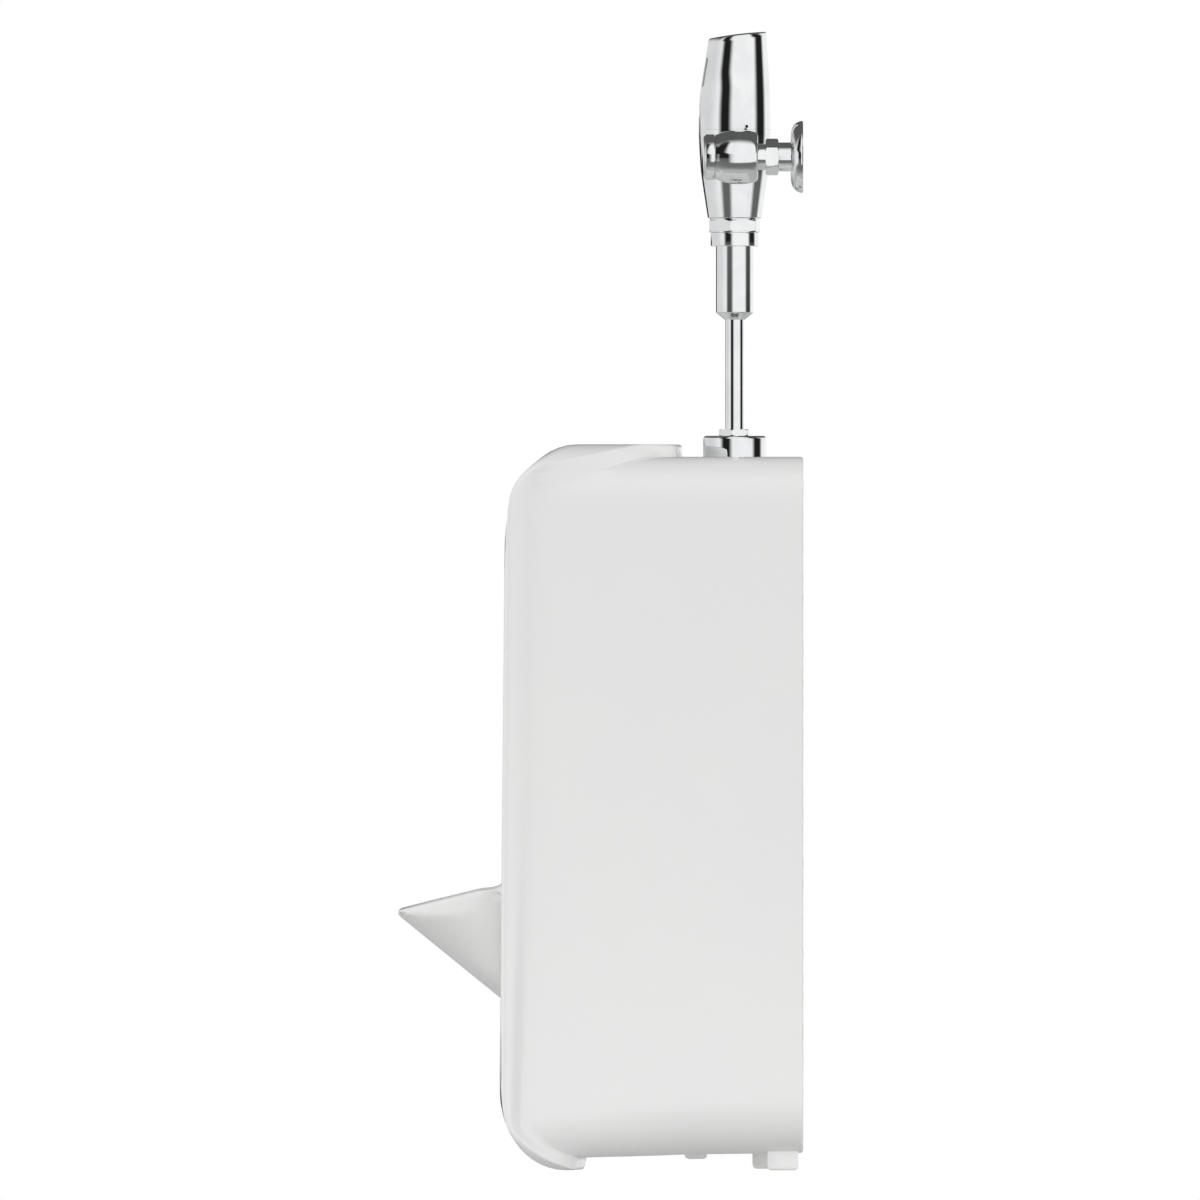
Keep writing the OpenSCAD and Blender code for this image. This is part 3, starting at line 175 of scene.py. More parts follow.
# A dark ceiling and a grey ground show in the tops and the undersides of the bars along the wall.
roll = in_degrees(room, "ARCTAN2", way_z, way_x, (-1000, -900))
lift = sums(room, "DIVIDE", way_z, diagonal(room, way_y, way_z, (-1000, -1200)), (-550, -1300))
over_head = sums(room, "MULTIPLY", stepped(room, roll, 54, 84, 0, 1, (-650, -900)),
                 stepped(room, lift, 0.25, 0.6, 0, 1, (-400, -1100)), (-200, -1000))
under_foot = sums(room, "MULTIPLY", stepped(room, roll, -29, -22, 1, 0, (-650, -1600)),
                  stepped(room, lift, -0.5, -0.25, 1, 0, (-400, -1600)), (-200, -1600))
ceiling_level, ground_level = 0.11, stepped(room, roll, -100, -35, 0.5, 0.17, (-650, -1900))
level = sums(room, "MULTIPLY", sums(room, "SUBTRACT", 1.0, screens, (200, 300)),
             stepped(room, bearing, -95, -45, 0.76, 1.0, (-100, 100)), (300, 300))
level = towards(room, over_head, level, ceiling_level, (400, 200))
level = towards(room, under_foot, level, ground_level, (500, 100))

# What is matt gets a plain soft light that falls off below and right above; the camera sees white.
light_path = add_node(room, "ShaderNodeLightPath", (300, 600))
plain_light = stepped(room, rise, -30, 8, 0.08, 1.8, (300, -200))
for value, low, high, to_low, to_high in ((rise, 4, 52, 1.0, 0.27), (way_y, -1, 0.2, 1.1, 1.0)):
    plain_light = sums(room, "MULTIPLY", plain_light, stepped(room, value, low, high, to_low, to_high, (300, -400)),
                       (500, -300))
seen = towards(room, light_path.outputs["Is Diffuse Ray"], level, plain_light, (700, 200))
seen = towards(room, light_path.outputs["Is Camera Ray"], seen, 1.0, (800, 300))
white_room = add_node(room, "ShaderNodeBackground", (950, 300))
feed(room, (white_room.inputs["Color"], white_room.inputs["Strength"]), ((1, 1, 1), seen))
room_out = add_node(room, "ShaderNodeOutputWorld", (1050, 300))
room.links.new(white_room.outputs[0], room_out.inputs[0])


def new_finish(name):
    made = bpy.data.materials.new(name)
    made.use_nodes = True
    return made, made.node_tree, made.node_tree.nodes["Principled BSDF"]


def place_on(tree, place=(-1500, 0)):
    return add_node(tree, "ShaderNodeTexCoord", place).outputs["Object"]


def noise(tree, coordinates, scale, detail=3.0, place=(0, 0)):
    made = add_node(tree, "ShaderNodeTexNoise", place)
    feed(tree, [made.inputs[name] for name in ("Vector", "Scale", "Detail")], (coordinates, scale, detail))
    return made.outputs["Fac"]


def blend_colours(tree, share, first, second, place=(0, 0)):
    made = add_node(tree, "ShaderNodeMix", place, data_type="RGBA")
    feed(tree, (made.inputs[0], made.inputs[6], made.inputs[7]), (share, first, second))
    return made.outputs[2]


floor_z, floor_half = -0.484, 3
corners = [(floor_half * x, floor_half * y, floor_z) for x, y in ((-1, -1), (1, -1), (1, 1), (-1, 1))]
floor_mesh = bpy.data.meshes.new("floor")
floor_mesh.from_pydata(corners, [], [(0, 1, 2, 3)])
floor = bpy.data.objects.new("floor", floor_mesh)
scene.collection.objects.link(floor)
floor_paint, floor_tree, floor_shader = new_finish("pale_floor")
floor_shader.inputs["Roughness"].default_value = 0.6
floor_at = place_on(floor_tree, (-1300, 0))
from_middle = add_node(floor_tree, "ShaderNodeVectorMath", (-1000, 0), operation="DISTANCE")
floor_tree.links.new(floor_at, from_middle.inputs[0])
from_middle.inputs[1].default_value = (0, -0.2, floor_z)
faded = stepped(floor_tree, from_middle.outputs["Value"], 0.75, 1.5, 1, 0, (-700, -200))
seen_from = add_node(floor_tree, "ShaderNodeNewGeometry", (-1000, -400))
from_above = sums(floor_tree, "SUBTRACT", 1.0, seen_from.outputs["Backfacing"], (-700, -400))
faded = sums(floor_tree, "MULTIPLY", faded, from_above, (-500, -300))
floor_tree.links.new(faded, floor_shader.inputs["Alpha"])
cloud = noise(floor_tree, floor_at, 3, 2, (-1000, 300))
tone = blend_colours(floor_tree, cloud, (0.64, 0.64, 0.64), (0.68, 0.68, 0.675), (-600, 300))
floor_tree.links.new(tone, floor_shader.inputs["Base Color"])
floor_mesh.materials.append(floor_paint)

# China body: one slip-cast piece of vitreous china, glazed white all over and fired.
# It has a casing against the wall, a proud shield round the mouth, and a lip like a beak.
# The numbers are millimetres: x across, depth out from the wall, height above the feet.
foot_drop = 130.0
shield_half, shield_top, shield_step, shield_corner_r = 230.0, 725.0, 12.5, 54.5
face_depth, face_lean, lean_top, lean_foot = 298.0, 5.0, 645.0, 100.0
top_fall, top_run, low_rise, low_run, side_edge_r = 100.0, 72.0, 78.0, 64.0, 6.0
step_depth, foot_step_depth, flare_depth, flare_run = 119.0, 212.0, 262.0, 28.0
china_wall, back_edge_r = 8.5, 3.0
casing_half, casing_top, casing_low, casing_top_r, casing_low_r = 217.5, 712.5, 17.0, 42.0, 55.0
floor_h, ceiling_h, rim_side_h = 125.0, 655.0, 300.0
mouth_half, mouth_corner_r, ceiling_r = 165.0, 85.0, 60.0
sump_half, sump_depth, bowl_back, drain_r = 45.0, 180.0, 45.0, 25.0
lip_reach, lip_foot_h, lip_tip_h, lip_root_h, lip_edge_h = 104.0, 170.0, 260.0, 285.0, 254.0
lip_slope = (lip_edge_h - lip_foot_h) / lip_reach
front_power, back_power = 1.15, 0.8


def outline_marks(corner_n, edge_n):
    """Marks on a rounded outline, once round: across, up, and the outward direction.

    They lie closest at the height where the rim of the lip runs into the face.
    """
    marks = []
    quarter = [math.pi / 2 * i / corner_n for i in range(corner_n + 1)]
    across = [1 - 2 * i / edge_n for i in range(1, edge_n)]
    up = [*np.arange(0.03, 0.22, 0.03), 0.225, 0.24, *np.arange(0.25, 0.318, 0.005), 0.325, 0.34, 0.37, 0.41]
    up += [*np.arange(0.46, 0.98, 0.05)]
    marks += [(1, 1, math.cos(a), math.sin(a)) for a in quarter]
    marks += [(u, 1, 0, 1) for u in across]
    marks += [(-1, 1, -math.sin(a), math.cos(a)) for a in quarter]
    marks += [(-1, v, -1, 0) for v in up[::-1]]
    marks += [(-1, 0, -math.cos(a), -math.sin(a)) for a in quarter]
    marks += [(-u, 0, 0, -1) for u in across]
    marks += [(1, 0, math.sin(a), -math.cos(a)) for a in quarter]
    marks += [(1, v, 1, 0) for v in up]
    return np.array(marks, float).T


marks = outline_marks(12, 32)


def outline(half, low, high, low_r, high_r):
    across, up, side, rise = marks
    r = (1 - up) * low_r + up * high_r
    h = (1 - up) * (low + low_r) + up * (high - high_r) + r * rise
    return across * (half - r) + r * side, h, side, rise


def lean(h):
    return 1 + face_lean / face_depth * np.clip((lean_top - h) / (lean_top - lean_foot), 0, 1)


def ring_of(x, depth, h):
    return np.stack([x, depth * lean(h), h], axis=-1)


def swept_edge(x, h):
    u = np.minimum(1, np.abs(x) / casing_half)
    low = np.clip(1 - 2 * h / shield_top, 0, None)
    side = flare_depth + (foot_step_depth + 65 - flare_depth) * low
    centre = np.where(h > shield_top / 2, step_depth, foot_step_depth)
    return side - (side - centre) * np.sqrt(np.maximum(0, 1 - u ** 4))


def flare_ring(t):
    crisp = np.clip(marks[3], 0, 1) ** 2
    inset = shield_step * (1 - (1 - crisp) * t * t * (3 - 2 * t) - crisp * (1 - (1 - t) ** 3))
    x, h, side, rise = outline(shield_half - inset, inset, shield_top - inset,
                               shield_corner_r - inset, shield_corner_r - inset)
    face_edge = face_depth - side_edge_r * side ** 2 - np.where(rise > 0, top_run, low_run) * rise ** 2
    edge = np.minimum(swept_edge(x, h), face_edge - 14)
    spare = face_edge - 1.5 - edge
    run = (1 - crisp) * flare_run * side ** 2 + 5 * crisp + 4 * np.clip(-rise, 0, 1) ** 2
    return ring_of(x, edge + t * np.minimum(run, spare), h)


def face_ring(degrees):
    turn = math.radians(degrees)
    shrink, back = 1 - math.cos(turn), 1 - math.sin(turn)
    x, h, side, rise = outline(shield_half - side_edge_r * shrink, low_rise * shrink,
                               shield_top - top_fall * shrink, shield_corner_r, shield_corner_r)
    run = np.where(rise > 0, top_run, low_run)
    return ring_of(x, face_depth - back * (side_edge_r * side ** 2 + run * rise ** 2), h)


def casing_ring(depth, inset, share=1.0):
    low = shield_step + (casing_low - 4 * depth / face_depth - shield_step) * share
    low_r = casing_top_r + (casing_low_r - casing_top_r) * share
    x, h, side, rise = outline(casing_half - inset, low + inset, casing_top - inset,
                               low_r - inset, casing_top_r - inset)
    return ring_of(x, depth, h)


def strip(first, last, count):
    """Rings between two rings, both left out."""
    return [first + (last - first) * i / count for i in range(1, count)]


def from_feet(points):
    return np.stack([points[..., 0], -points[..., 1], points[..., 2] - foot_drop], -1) / 1000


def cleaned(form, near):
    """Joins points that lie nearer than that, and drops empty faces and loose points."""
    bmesh.ops.remove_doubles(form, verts=form.verts, dist=near)
    bmesh.ops.dissolve_degenerate(form, edges=form.edges, dist=near)
    bmesh.ops.delete(form, geom=[v for v in form.verts if not v.link_faces], context="VERTS")


def closed_skin(rings, name, caps=True, place=from_feet):
    """A mesh over rings of as many points each, in millimetres, closed by a fan at both ends."""
    n = len(rings[0])
    points = np.concatenate([*rings, [rings[0].mean(0), rings[-1].mean(0)]])
    faces = [(k * n + i, k * n + (i + 1) % n, (k + 1) * n + (i + 1) % n, (k + 1) * n + i)
             for k in range(len(rings) - 1) for i in range(n)]
    if caps:
        first_fan, last_fan = len(points) - 2, len(points) - 1
        end = (len(rings) - 1) * n
        faces += [(first_fan, (i + 1) % n, i) for i in range(n)]
        faces += [(last_fan, end + i, end + (i + 1) % n) for i in range(n)]
    made = bpy.data.meshes.new(name)
    made.from_pydata(place(points).tolist(), [], faces)
    form = bmesh.new()
    form.from_mesh(made)
    cleaned(form, 1e-6)
    bmesh.ops.recalc_face_normals(form, faces=form.faces)
    form.to_mesh(made)
    form.free()
    return made


def smooth_max(a, b, width):
    gap = np.abs(a - b)
    return np.maximum(a, b) + np.where(gap < width, (width - gap) ** 2 / (4 * width), 0)


def smooth_min(a, b, width):
    return -smooth_max(-a, -b, width)


def shaped(t):
    return np.sin(math.pi / 2 * np.clip(t, 0, 1)) ** 0.8


def roundover(h, r):
    u = np.clip((h - ceiling_h + r) / r, 0, 1)
    return r * (1 - np.sqrt(1 - u * u))


def face_front(h):
    top = np.clip((h - (shield_top - top_fall)) / top_fall, 0, 1)
    low = np.clip((low_rise - h) / low_rise, 0, 1)
    drop = top_run * (1 - np.sqrt(1 - top ** 2)) + low_run * (1 - np.sqrt(1 - low ** 2))
    return (face_depth - drop) * lean(h)


def reach(h, skin):
    thin = china_wall - skin
    return np.minimum(lip_reach - thin, (h - lip_foot_h) / lip_slope - thin * math.sqrt(1 + 1 / lip_slope ** 2))


def bowl_section(h, skin, arched=True):
    """Half width, depth of the widest place, back and front of the bowl at a height."""
    inner_h = h
    for _ in range(2):
        above = np.clip((inner_h - ceiling_h) / mouth_corner_r + 1, 0, 1)
        below = np.clip((lip_foot_h - inner_h) / (lip_foot_h - floor_h), 0, 1)
        inner_h = h - skin * (above - below)
    half = (sump_half + (mouth_half - sump_half) * shaped((inner_h - floor_h) / (rim_side_h - floor_h))
            - arched * roundover(inner_h, mouth_corner_r) + skin)
    back = (sump_depth - sump_half - (sump_depth - sump_half - bowl_back) * shaped((inner_h - floor_h) / 200)
            + arched * roundover(inner_h, ceiling_r) - skin)
    front_face = face_depth * lean(h)
    mid = sump_depth + (face_depth * lean(inner_h) - sump_depth) * shaped((inner_h - floor_h) / 80)
    front = np.maximum(mid + 2, front_face + reach(h, skin))
    return half, mid, back, front


def bowl_measure(p, skin, arched=True):
    """Below 0 inside the bowl and above 0 outside it, 1 section width at a time."""
    x, depth, h = np.abs(p[..., 0]), p[..., 1], p[..., 2]
    half, mid, back, front = bowl_section(h, skin, arched)
    ahead = depth > mid
    power = np.where(ahead, 2 / front_power, 2 / back_power)
    run = np.where(ahead, (depth - mid) / (front - mid), (mid - depth) / (mid - back))
    return (np.maximum(x / half, 1e-6) ** power + np.maximum(run, 1e-6) ** power) ** (1 / power) - 1


def in_bowl(p, skin):
    return (bowl_measure(p, skin) < 0) & (p[..., 2] > floor_h - skin) & (p[..., 2] < ceiling_h + skin)


def slope_of(measure, p, step=0.4):
    return np.stack([(measure(p + step * axis) - measure(p - step * axis)) / (2 * step)
                     for axis in np.eye(3)], axis=-1)


def bowl_distance(p, skin):
    g = bowl_measure(p, skin, False)
    steep = np.linalg.norm(slope_of(lambda q: bowl_measure(q, skin, False), p), axis=-1)
    side = g / np.maximum(steep, 1 / 400)
    side = smooth_max(side, floor_h - skin - p[..., 2], 6)
    above = p[..., 2] - ceiling_h - skin
    deep = np.clip((face_depth - p[..., 1]) / 180, 0, 1)
    r = mouth_corner_r + (ceiling_r - mouth_corner_r) * deep * deep * (3 - 2 * deep) + skin
    past_side, past_top = side + r, above + r
    outside = np.hypot(np.maximum(past_side, 0), np.maximum(past_top, 0))
    return np.minimum(np.maximum(past_side, past_top), 0) + outside - r


rim_round, mouth_round, root_fillet = 4.6, 16, 2


def rim_height(depth, h):
    return lip_root_h - (lip_root_h - lip_tip_h) / lip_reach * (depth - face_depth * lean(h))


def china_distance(p):
    """Below 0 in the china near the mouth, with every edge rounded as slip and glaze leave it."""
    depth, h = p[..., 1], p[..., 2]
    ahead = depth - face_front(h)
    lip = smooth_max(bowl_distance(p, china_wall), 0.97 * (h - rim_height(depth, h)), rim_round)
    outside = smooth_min(ahead, lip, root_fillet)
    out = np.clip(ahead / 25, 0, 1)
    width = mouth_round - (mouth_round - rim_round) * out * out * (3 - 2 * out)
    return smooth_max(outside, -bowl_distance(p, 0), width)


def settle(points, rounds=6):
    """Moves points onto the china's surface."""
    for _ in range(rounds):
        g = china_distance(points)
        slope = slope_of(china_distance, points)
        step = (g / np.maximum((slope ** 2).sum(-1), 0.05))[..., None] * slope
        length = np.linalg.norm(step, axis=-1, keepdims=True)
        points = points - step * np.minimum(1, 6 / np.maximum(length, 1e-9))
    return points


outer_edge = face_ring(45)
eye = np.array([0.0, 430.0])
rays = outer_edge[:, [0, 2]] - eye
ray_length = np.linalg.norm(rays, axis=1)
rays = rays / ray_length[:, None]


def on_ray(rho):
    return rho * rays[:, 0], eye[1] + rho * rays[:, 1]


def last_inside(low, high, rounds, holds):
    """How far along each ray holds is still true, by halving, and the last place that was tried."""
    for _ in range(rounds):
        tried = (low + high) / 2
        inside = holds(tried)
        low, high = np.where(inside, tried, low), np.where(inside, high, tried)
    return low, tried


def rim_point(skin, below, lip=True):
    """Where each ray meets the skin of the bowl, so far below the rim or behind the face."""
    def point_at(rho):
        x, h = on_ray(rho)
        over_lip = face_depth * lean(h) + (lip_root_h - h - below) * lip_reach / (lip_root_h - lip_tip_h)
        return np.stack([x, np.maximum(face_front(h) - below, over_lip if lip else 0), h], -1)

    return point_at(last_inside(np.zeros(len(rays)), ray_length, 41, lambda rho: in_bowl(point_at(rho), skin))[1])


def lip_front(x, h, skin):
    half, mid, back, front = bowl_section(h, skin)
    u = np.minimum(1, np.abs(x) / half)
    on_lip = (np.abs(x) < half) & (h < lip_root_h)
    return np.where(on_lip, mid + (front - mid) * (1 - u ** (2 / front_power)) ** (front_power / 2), -1e3)


rim_top = rim_point(china_wall / 2, 0.0)
out_share = np.clip((rim_top[:, 1] - face_front(rim_top[:, 2])) / 5, 0, 1)[:, None]
rim_rings = [rim_point(0, below) for below in (34, 26, 19, 13, 8.5, 5, 2.5, 1)]
rim_rings += [rim_point(2.0, 0.2), rim_top]
for across_face, below in ((6.5, 0.2), (9.5, 1.5), (13, 4), (17, 8), (22, 13)):
    on_face = rim_point(across_face, 0.0, False)
    on_lip = rim_point(china_wall, below)
    on_lip[:, 1] = np.maximum(on_lip[:, 1], face_front(on_lip[:, 2]))
    rim_rings.append(on_face + (on_lip - on_face) * out_share)

# Under the rim the rings run down the lip to its foot, where it stands out of the face.
start_rho = np.linalg.norm(rim_rings[-1][:, [0, 2]] - eye, axis=1)


def on_lip_front(rho):
    x, h = on_ray(rho)
    return lip_front(x, h, china_wall) > face_front(h)


foot_rho = last_inside(start_rho, ray_length, 40, on_lip_front)[0]
outer_gap = 6
room_left = ray_length - start_rho - outer_gap
foot_rho = np.maximum(foot_rho, start_rho + np.minimum(3, 0.4 * room_left))
tight_in = np.minimum(1, (foot_rho - start_rho) / 12)
tight_out = np.minimum(1, (ray_length - outer_gap - foot_rho) / 30)
under_rho = [start_rho + (foot_rho - 10 * tight_in - start_rho) * k / 10 for k in range(1, 11)]
under_rho += [foot_rho - to_foot * tight_in for to_foot in (8, 6, 4, 2.5, 1.2, 0.4, 0)]
under_rho += [foot_rho + from_foot * tight_out for from_foot in (3, 8, 16, 24)]
under_rings = []
for rho in under_rho:
    x, h = on_ray(rho)
    under_rings.append(np.stack([x, np.maximum(face_front(h), lip_front(x, h, china_wall)), h], -1))

# Inside the bowl the rings run from the rim to the drain, spread evenly as seen from its heart.
heart = np.array([0.0, 200.0, 380.0])


def to_chart(points):
    way = points - heart
    way = way / np.linalg.norm(way, axis=-1, keepdims=True)
    return way[..., [0, 2]] / (1 - way[..., 1:2])


def from_chart(s):
    size = (s ** 2).sum(-1, keepdims=True)
    return np.concatenate([2 * s[..., :1], size - 1, 2 * s[..., 1:]], -1) / (1 + size)


drain_ring = np.stack([20 * rays[:, 0], sump_depth - 20 * rays[:, 1], np.full(len(rays), floor_h)], -1)
bowl_n = 52
chart_out, chart_in = to_chart(rim_rings[0]), to_chart(drain_ring)
bowl_rings = []
for k in range(1, bowl_n):
    way = from_chart(chart_out + (chart_in - chart_out) * (k / bowl_n))
    far = last_inside(np.zeros(len(rays)), np.full(len(rays), 600.0), 36,
                      lambda rho: in_bowl(heart + rho[:, None] * way, 0))[0]
    bowl_rings.append(heart + far[:, None] * way)

settled_rings = np.stack([*settle(np.stack([*bowl_rings[::-1], *rim_rings])), *under_rings])

# A little evening out of the points takes the last ripples out of the bowl and the lip's root.
from_root = settled_rings - (0, face_depth + 4, lip_root_h - 2)
from_root[..., 0] = np.abs(from_root[..., 0]) - mouth_half - 7
soft = np.clip(1.5 - np.linalg.norm(from_root, axis=-1, keepdims=True) / 10, 0, 1) * 0.6
soft[2:bowl_n - 5] = 0.4
for _ in range(10):
    around = (np.roll(settled_rings, 1, axis=1) + np.roll(settled_rings, -1, axis=1)) / 4
    around += (np.roll(settled_rings, 1, axis=0) + np.roll(settled_rings, -1, axis=0)) / 4
    settled_rings = settled_rings + soft * (around - settled_rings)

# From the foot of the lip to the shield's edge the rings are laid onto the curved face.
fine_face = closed_skin([face_ring(a) for a in range(0, 91, 3)], "face_gauge")
face_tree = BVHTree.FromPolygons([v.co for v in fine_face.vertices], [p.vertices for p in fine_face.polygons])
last_ring = settled_rings[-1]
face_rings = []
for ring in strip(last_ring, outer_edge, 10):
    fixed = ring.copy()
    for i, (x, depth, h) in enumerate(ring):
        hit = face_tree.ray_cast(Vector((x / 1000, -1, (h - foot_drop) / 1000)), Vector((0, 1, 0)))[0]
        if hit is not None:
            fixed[i, 1] = -hit.y * 1000
    face_rings.append(fixed)
bpy.data.meshes.remove(fine_face)

edge_rings = [outer_edge] + [face_ring(a) for a in (37.5, 30, 22.5, 15, 7.5, 0)]
edge_rings += strip(edge_rings[-1], flare_ring(1), 7)
edge_rings += [flare_ring(t) for t in (1, 0.85, 0.7, 0.55, 0.4, 0.25, 0.12, 0)]
x, h, *_ = outline(casing_half, shield_step, casing_top, casing_top_r, casing_top_r)
meet = swept_edge(x, h)
edge_rings += [casing_ring(meet + (back_edge_r - meet) * k / 8, 0, min(1, k / 4)) for k in range(1, 9)]
for turn in np.radians([22.5, 45, 67.5, 90]):
    edge_rings.append(casing_ring(back_edge_r * (1 - math.sin(turn)), back_edge_r * (1 - math.cos(turn))))


def stood(mesh):
    """An object made of the mesh, in the scene."""
    made = bpy.data.objects.new(mesh.name, mesh)
    scene.collection.objects.link(made)
    return made


china = stood(closed_skin([drain_ring, *settled_rings, *face_rings, *edge_rings], "china_body_glazed"))


def carve(piece, tool_mesh, operation="DIFFERENCE"):
    """Cuts a mesh out of a piece, or joins it on, and keeps only the result."""
    tool = stood(tool_mesh)
    step = piece.modifiers.new("carve", "BOOLEAN")
    step.operation, step.solver, step.object = operation, "MANIFOLD", tool
    carved = bpy.data.meshes.new_from_object(piece.evaluated_get(bpy.context.evaluated_depsgraph_get()))
    piece.modifiers.clear()
    old, piece.data = piece.data, carved
    carved.name = old.name
    bpy.data.meshes.remove(old)
    bpy.data.objects.remove(tool)
    bpy.data.meshes.remove(tool_mesh)


def level_ring(x, depth, h):
    """A rectangle between two values each of x and depth, as a ring at one height."""
    return np.array([(x[0], depth[0], h), (x[1], depth[0], h), (x[1], depth[1], h), (x[0], depth[1], h)], float)


def block(x, depth, h):
    """A straight block between two values each of x, depth and height."""
    return closed_skin([level_ring(x, depth, level) for level in h], "block")


def full_turn(n):
    """The angles of n points spaced evenly round a circle."""
    return np.linspace(0, 2 * math.pi, n, endpoint=False)


def round_bar(start, end, r, n=32):
    """A round bar between two points."""
    start, end = np.array(start, float), np.array(end, float)
    way = (end - start) / np.linalg.norm(end - start)
    side = np.cross(way, (0, 0, 1) if abs(way[2]) < 0.9 else (1, 0, 0))
    side /= np.linalg.norm(side)
    other = np.cross(way, side)
    ring = [r * (math.cos(a) * side + math.sin(a) * other) for a in full_turn(n)]
    return closed_skin([start + np.array(ring), end + np.array(ring)], "round_bar")


# Behind the glazed skin the casting is hollow and open at the back, one wall thick all round.
# The hollow leaves out the backs of the bowl, the trap and the water channel, and the bosses.
hollow_top_fall, hollow_low_rise = 87.5, 61
land_depth, land_width = 8.5, 24.0


def hollow_face_ring(degrees):
    turn = math.radians(degrees)
    shrink, back = 1 - math.cos(turn), 1 - math.sin(turn)
    x, h, side, rise = outline(casing_half - china_wall, casing_low + china_wall + hollow_low_rise * shrink,
                               casing_top - china_wall - hollow_top_fall * shrink,
                               casing_low_r - china_wall, casing_top_r - china_wall)
    run = np.where(rise > 0, top_run, low_run)
    return ring_of(x, face_depth - china_wall - back * run * rise ** 2, h)


def hollow_back_ring(depth, inset):
    x, h, side, rise = outline(casing_half - inset, casing_low + inset, casing_top - inset,
                               casing_low_r - inset / 2, casing_top_r - inset / 2)
    return ring_of(x, depth, h)


def bowl_ring(h, skin, n=96):
    half, mid, back, front = bowl_section(np.array(float(h)), skin)
    a = full_turn(n)
    power = np.where(np.sin(a) > 0, back_power, front_power)
    run = np.abs(np.sin(a)) ** power
    depth = np.where(np.sin(a) > 0, mid - (mid - back) * run, mid + (front - mid) * run)
    return np.stack([half * np.sign(np.cos(a)) * np.abs(np.cos(a)) ** power, depth, np.full(n, float(h))], -1)


def through(points, n):
    """A smooth line of n points through the given ones."""
    points = np.array(points, float)
    ends = np.concatenate([[2 * points[0] - points[1]], points, [2 * points[-1] - points[-2]]])
    line = []
    for t in np.linspace(0, len(points) - 1 - 1e-9, n):
        k, u = int(t), t - int(t)
        a, b, c, d = ends[k:k + 4]
        line.append(0.5 * (2 * b + (c - a) * u + (2 * a - 5 * b + 4 * c - d) * u ** 2
                           + (3 * b - a - 3 * c + d) * u ** 3))
    return np.array(line)


outlet_h = 130.0


def trap_rings(r, last_depth):
    """Rings along the trapway, a bend that always holds water, from the bowl's floor to the outlet."""
    path = through([(180, 127), (180, 100), (177, 80), (167, 62), (150, 51), (130, 51), (112, 62), (100, 80),
                    (93, 100), (83, 118), (66, 128), (46, 131), (25, outlet_h), (last_depth, outlet_h)], 70)
    way = np.gradient(path, axis=0)
    way /= np.linalg.norm(way, axis=1, keepdims=True)
    a = full_turn(40)
    return [np.stack([r * np.cos(a), d - r * np.sin(a) * wh, h + r * np.sin(a) * wd], -1)
            for (d, h), (wd, wh) in zip(path, way)]


def rounded_levels(low, high, n):
    return low + (high - low) * (1 - np.cos(np.linspace(0, math.pi, n))) / 2


hollow_rings = [hollow_face_ring(a) for a in range(90, -1, -10)]
hollow_rings += [hollow_back_ring(land_depth + land_depth * (1 - math.sin(a)),
                                  china_wall + (land_width - china_wall) * (1 - math.cos(a)))
                 for a in np.linspace(0, math.pi / 2, 7)]
hollow_rings += [hollow_back_ring(1.5, land_width), hollow_back_ring(-2, land_width - 0.5)]
hollow = stood(closed_skin(hollow_rings, "hollow"))
bowl_levels = rounded_levels(floor_h - 8.4, ceiling_h + 8.4, 70)
carve(hollow, closed_skin([bowl_ring(h, china_wall) for h in bowl_levels], "bowl_back"))
carve(hollow, closed_skin(trap_rings(33.5, 27), "trap_outside"))
channel_half, channel_depth, channel_h = 86, (36, 100), (668.5, 702.5)
carve(hollow, block((-channel_half - 8.5, channel_half + 8.5), (36, 108.5), (641, 711.5)))
hanger_x, bolt_x, screw_x = 150, 57, 32
for x in (-hanger_x, hanger_x):
    carve(hollow, closed_skin([level_ring((x - 26, x + 26), (9, 35), 671),
                               level_ring((x - 30, x + 30), (5, 39), 705)], "lug"))
    carve(hollow, block((x - 23.5, x + 23.5), (20.4, 24.6), (660, 689)), "UNION")
carve(hollow, round_bar((0, 15, outlet_h), (0, 35, outlet_h), 46, 64))
for x in (-bolt_x, bolt_x):
    carve(hollow, round_bar((x, 15, outlet_h), (x, 27, outlet_h), 13))
    carve(hollow, block((min(x, 0.0), max(x, 0.0)), (15, 27), (outlet_h - 13, outlet_h + 13)))
carve(china, hollow.data.copy())
bpy.data.objects.remove(hollow)

# Then the trap, the water channel with its inlet and wash holes, and the holes of bolts and screws.
carve(china, closed_skin(trap_rings(drain_r, 14), "trap_inside"))
carve(china, block((-channel_half, channel_half), channel_depth, channel_h))
valve_depth = 68.0
carve(china, round_bar((0, valve_depth, 690), (0, valve_depth, 730), 17.5, 48))
wash_holes = 9
for k in range(wash_holes):
    x = (k / (wash_holes - 1) - 0.5) * 1.9 * channel_half
    carve(china, round_bar((x, 88, 625), (x, 88, 675), 3, 16))
for x in (-bolt_x, bolt_x):
    carve(china, round_bar((x, 14, outlet_h), (x, 28, outlet_h), 5.2))
for x in (-screw_x, screw_x):
    carve(china, round_bar((x, sump_depth, 119), (x, sump_depth, 130), 2.2, 16))


def foot_rings(half, depth, toe_r=4, top=22):
    """A leg with rounded toes, as rings across it."""
    rings = []
    quarter = np.linspace(0, math.pi / 2, 7)
    for x, inset in ((-half, 1.8), (-half + 0.5, 0.6), (-half + 1.8, 0),
                     (half - 1.8, 0), (half - 0.5, 0.6), (half, 1.8)):
        r = toe_r - inset
        toe = [(depth - toe_r + r * math.cos(a), toe_r - r * math.sin(a)) for a in quarter]
        heel = [(9 - r * math.sin(a), toe_r - r * math.cos(a)) for a in quarter]
        section = [(depth - inset, top), *toe, *heel, (5 + inset, top)]
        rings.append(np.array([(x, d, h) for d, h in section], float))
    return rings


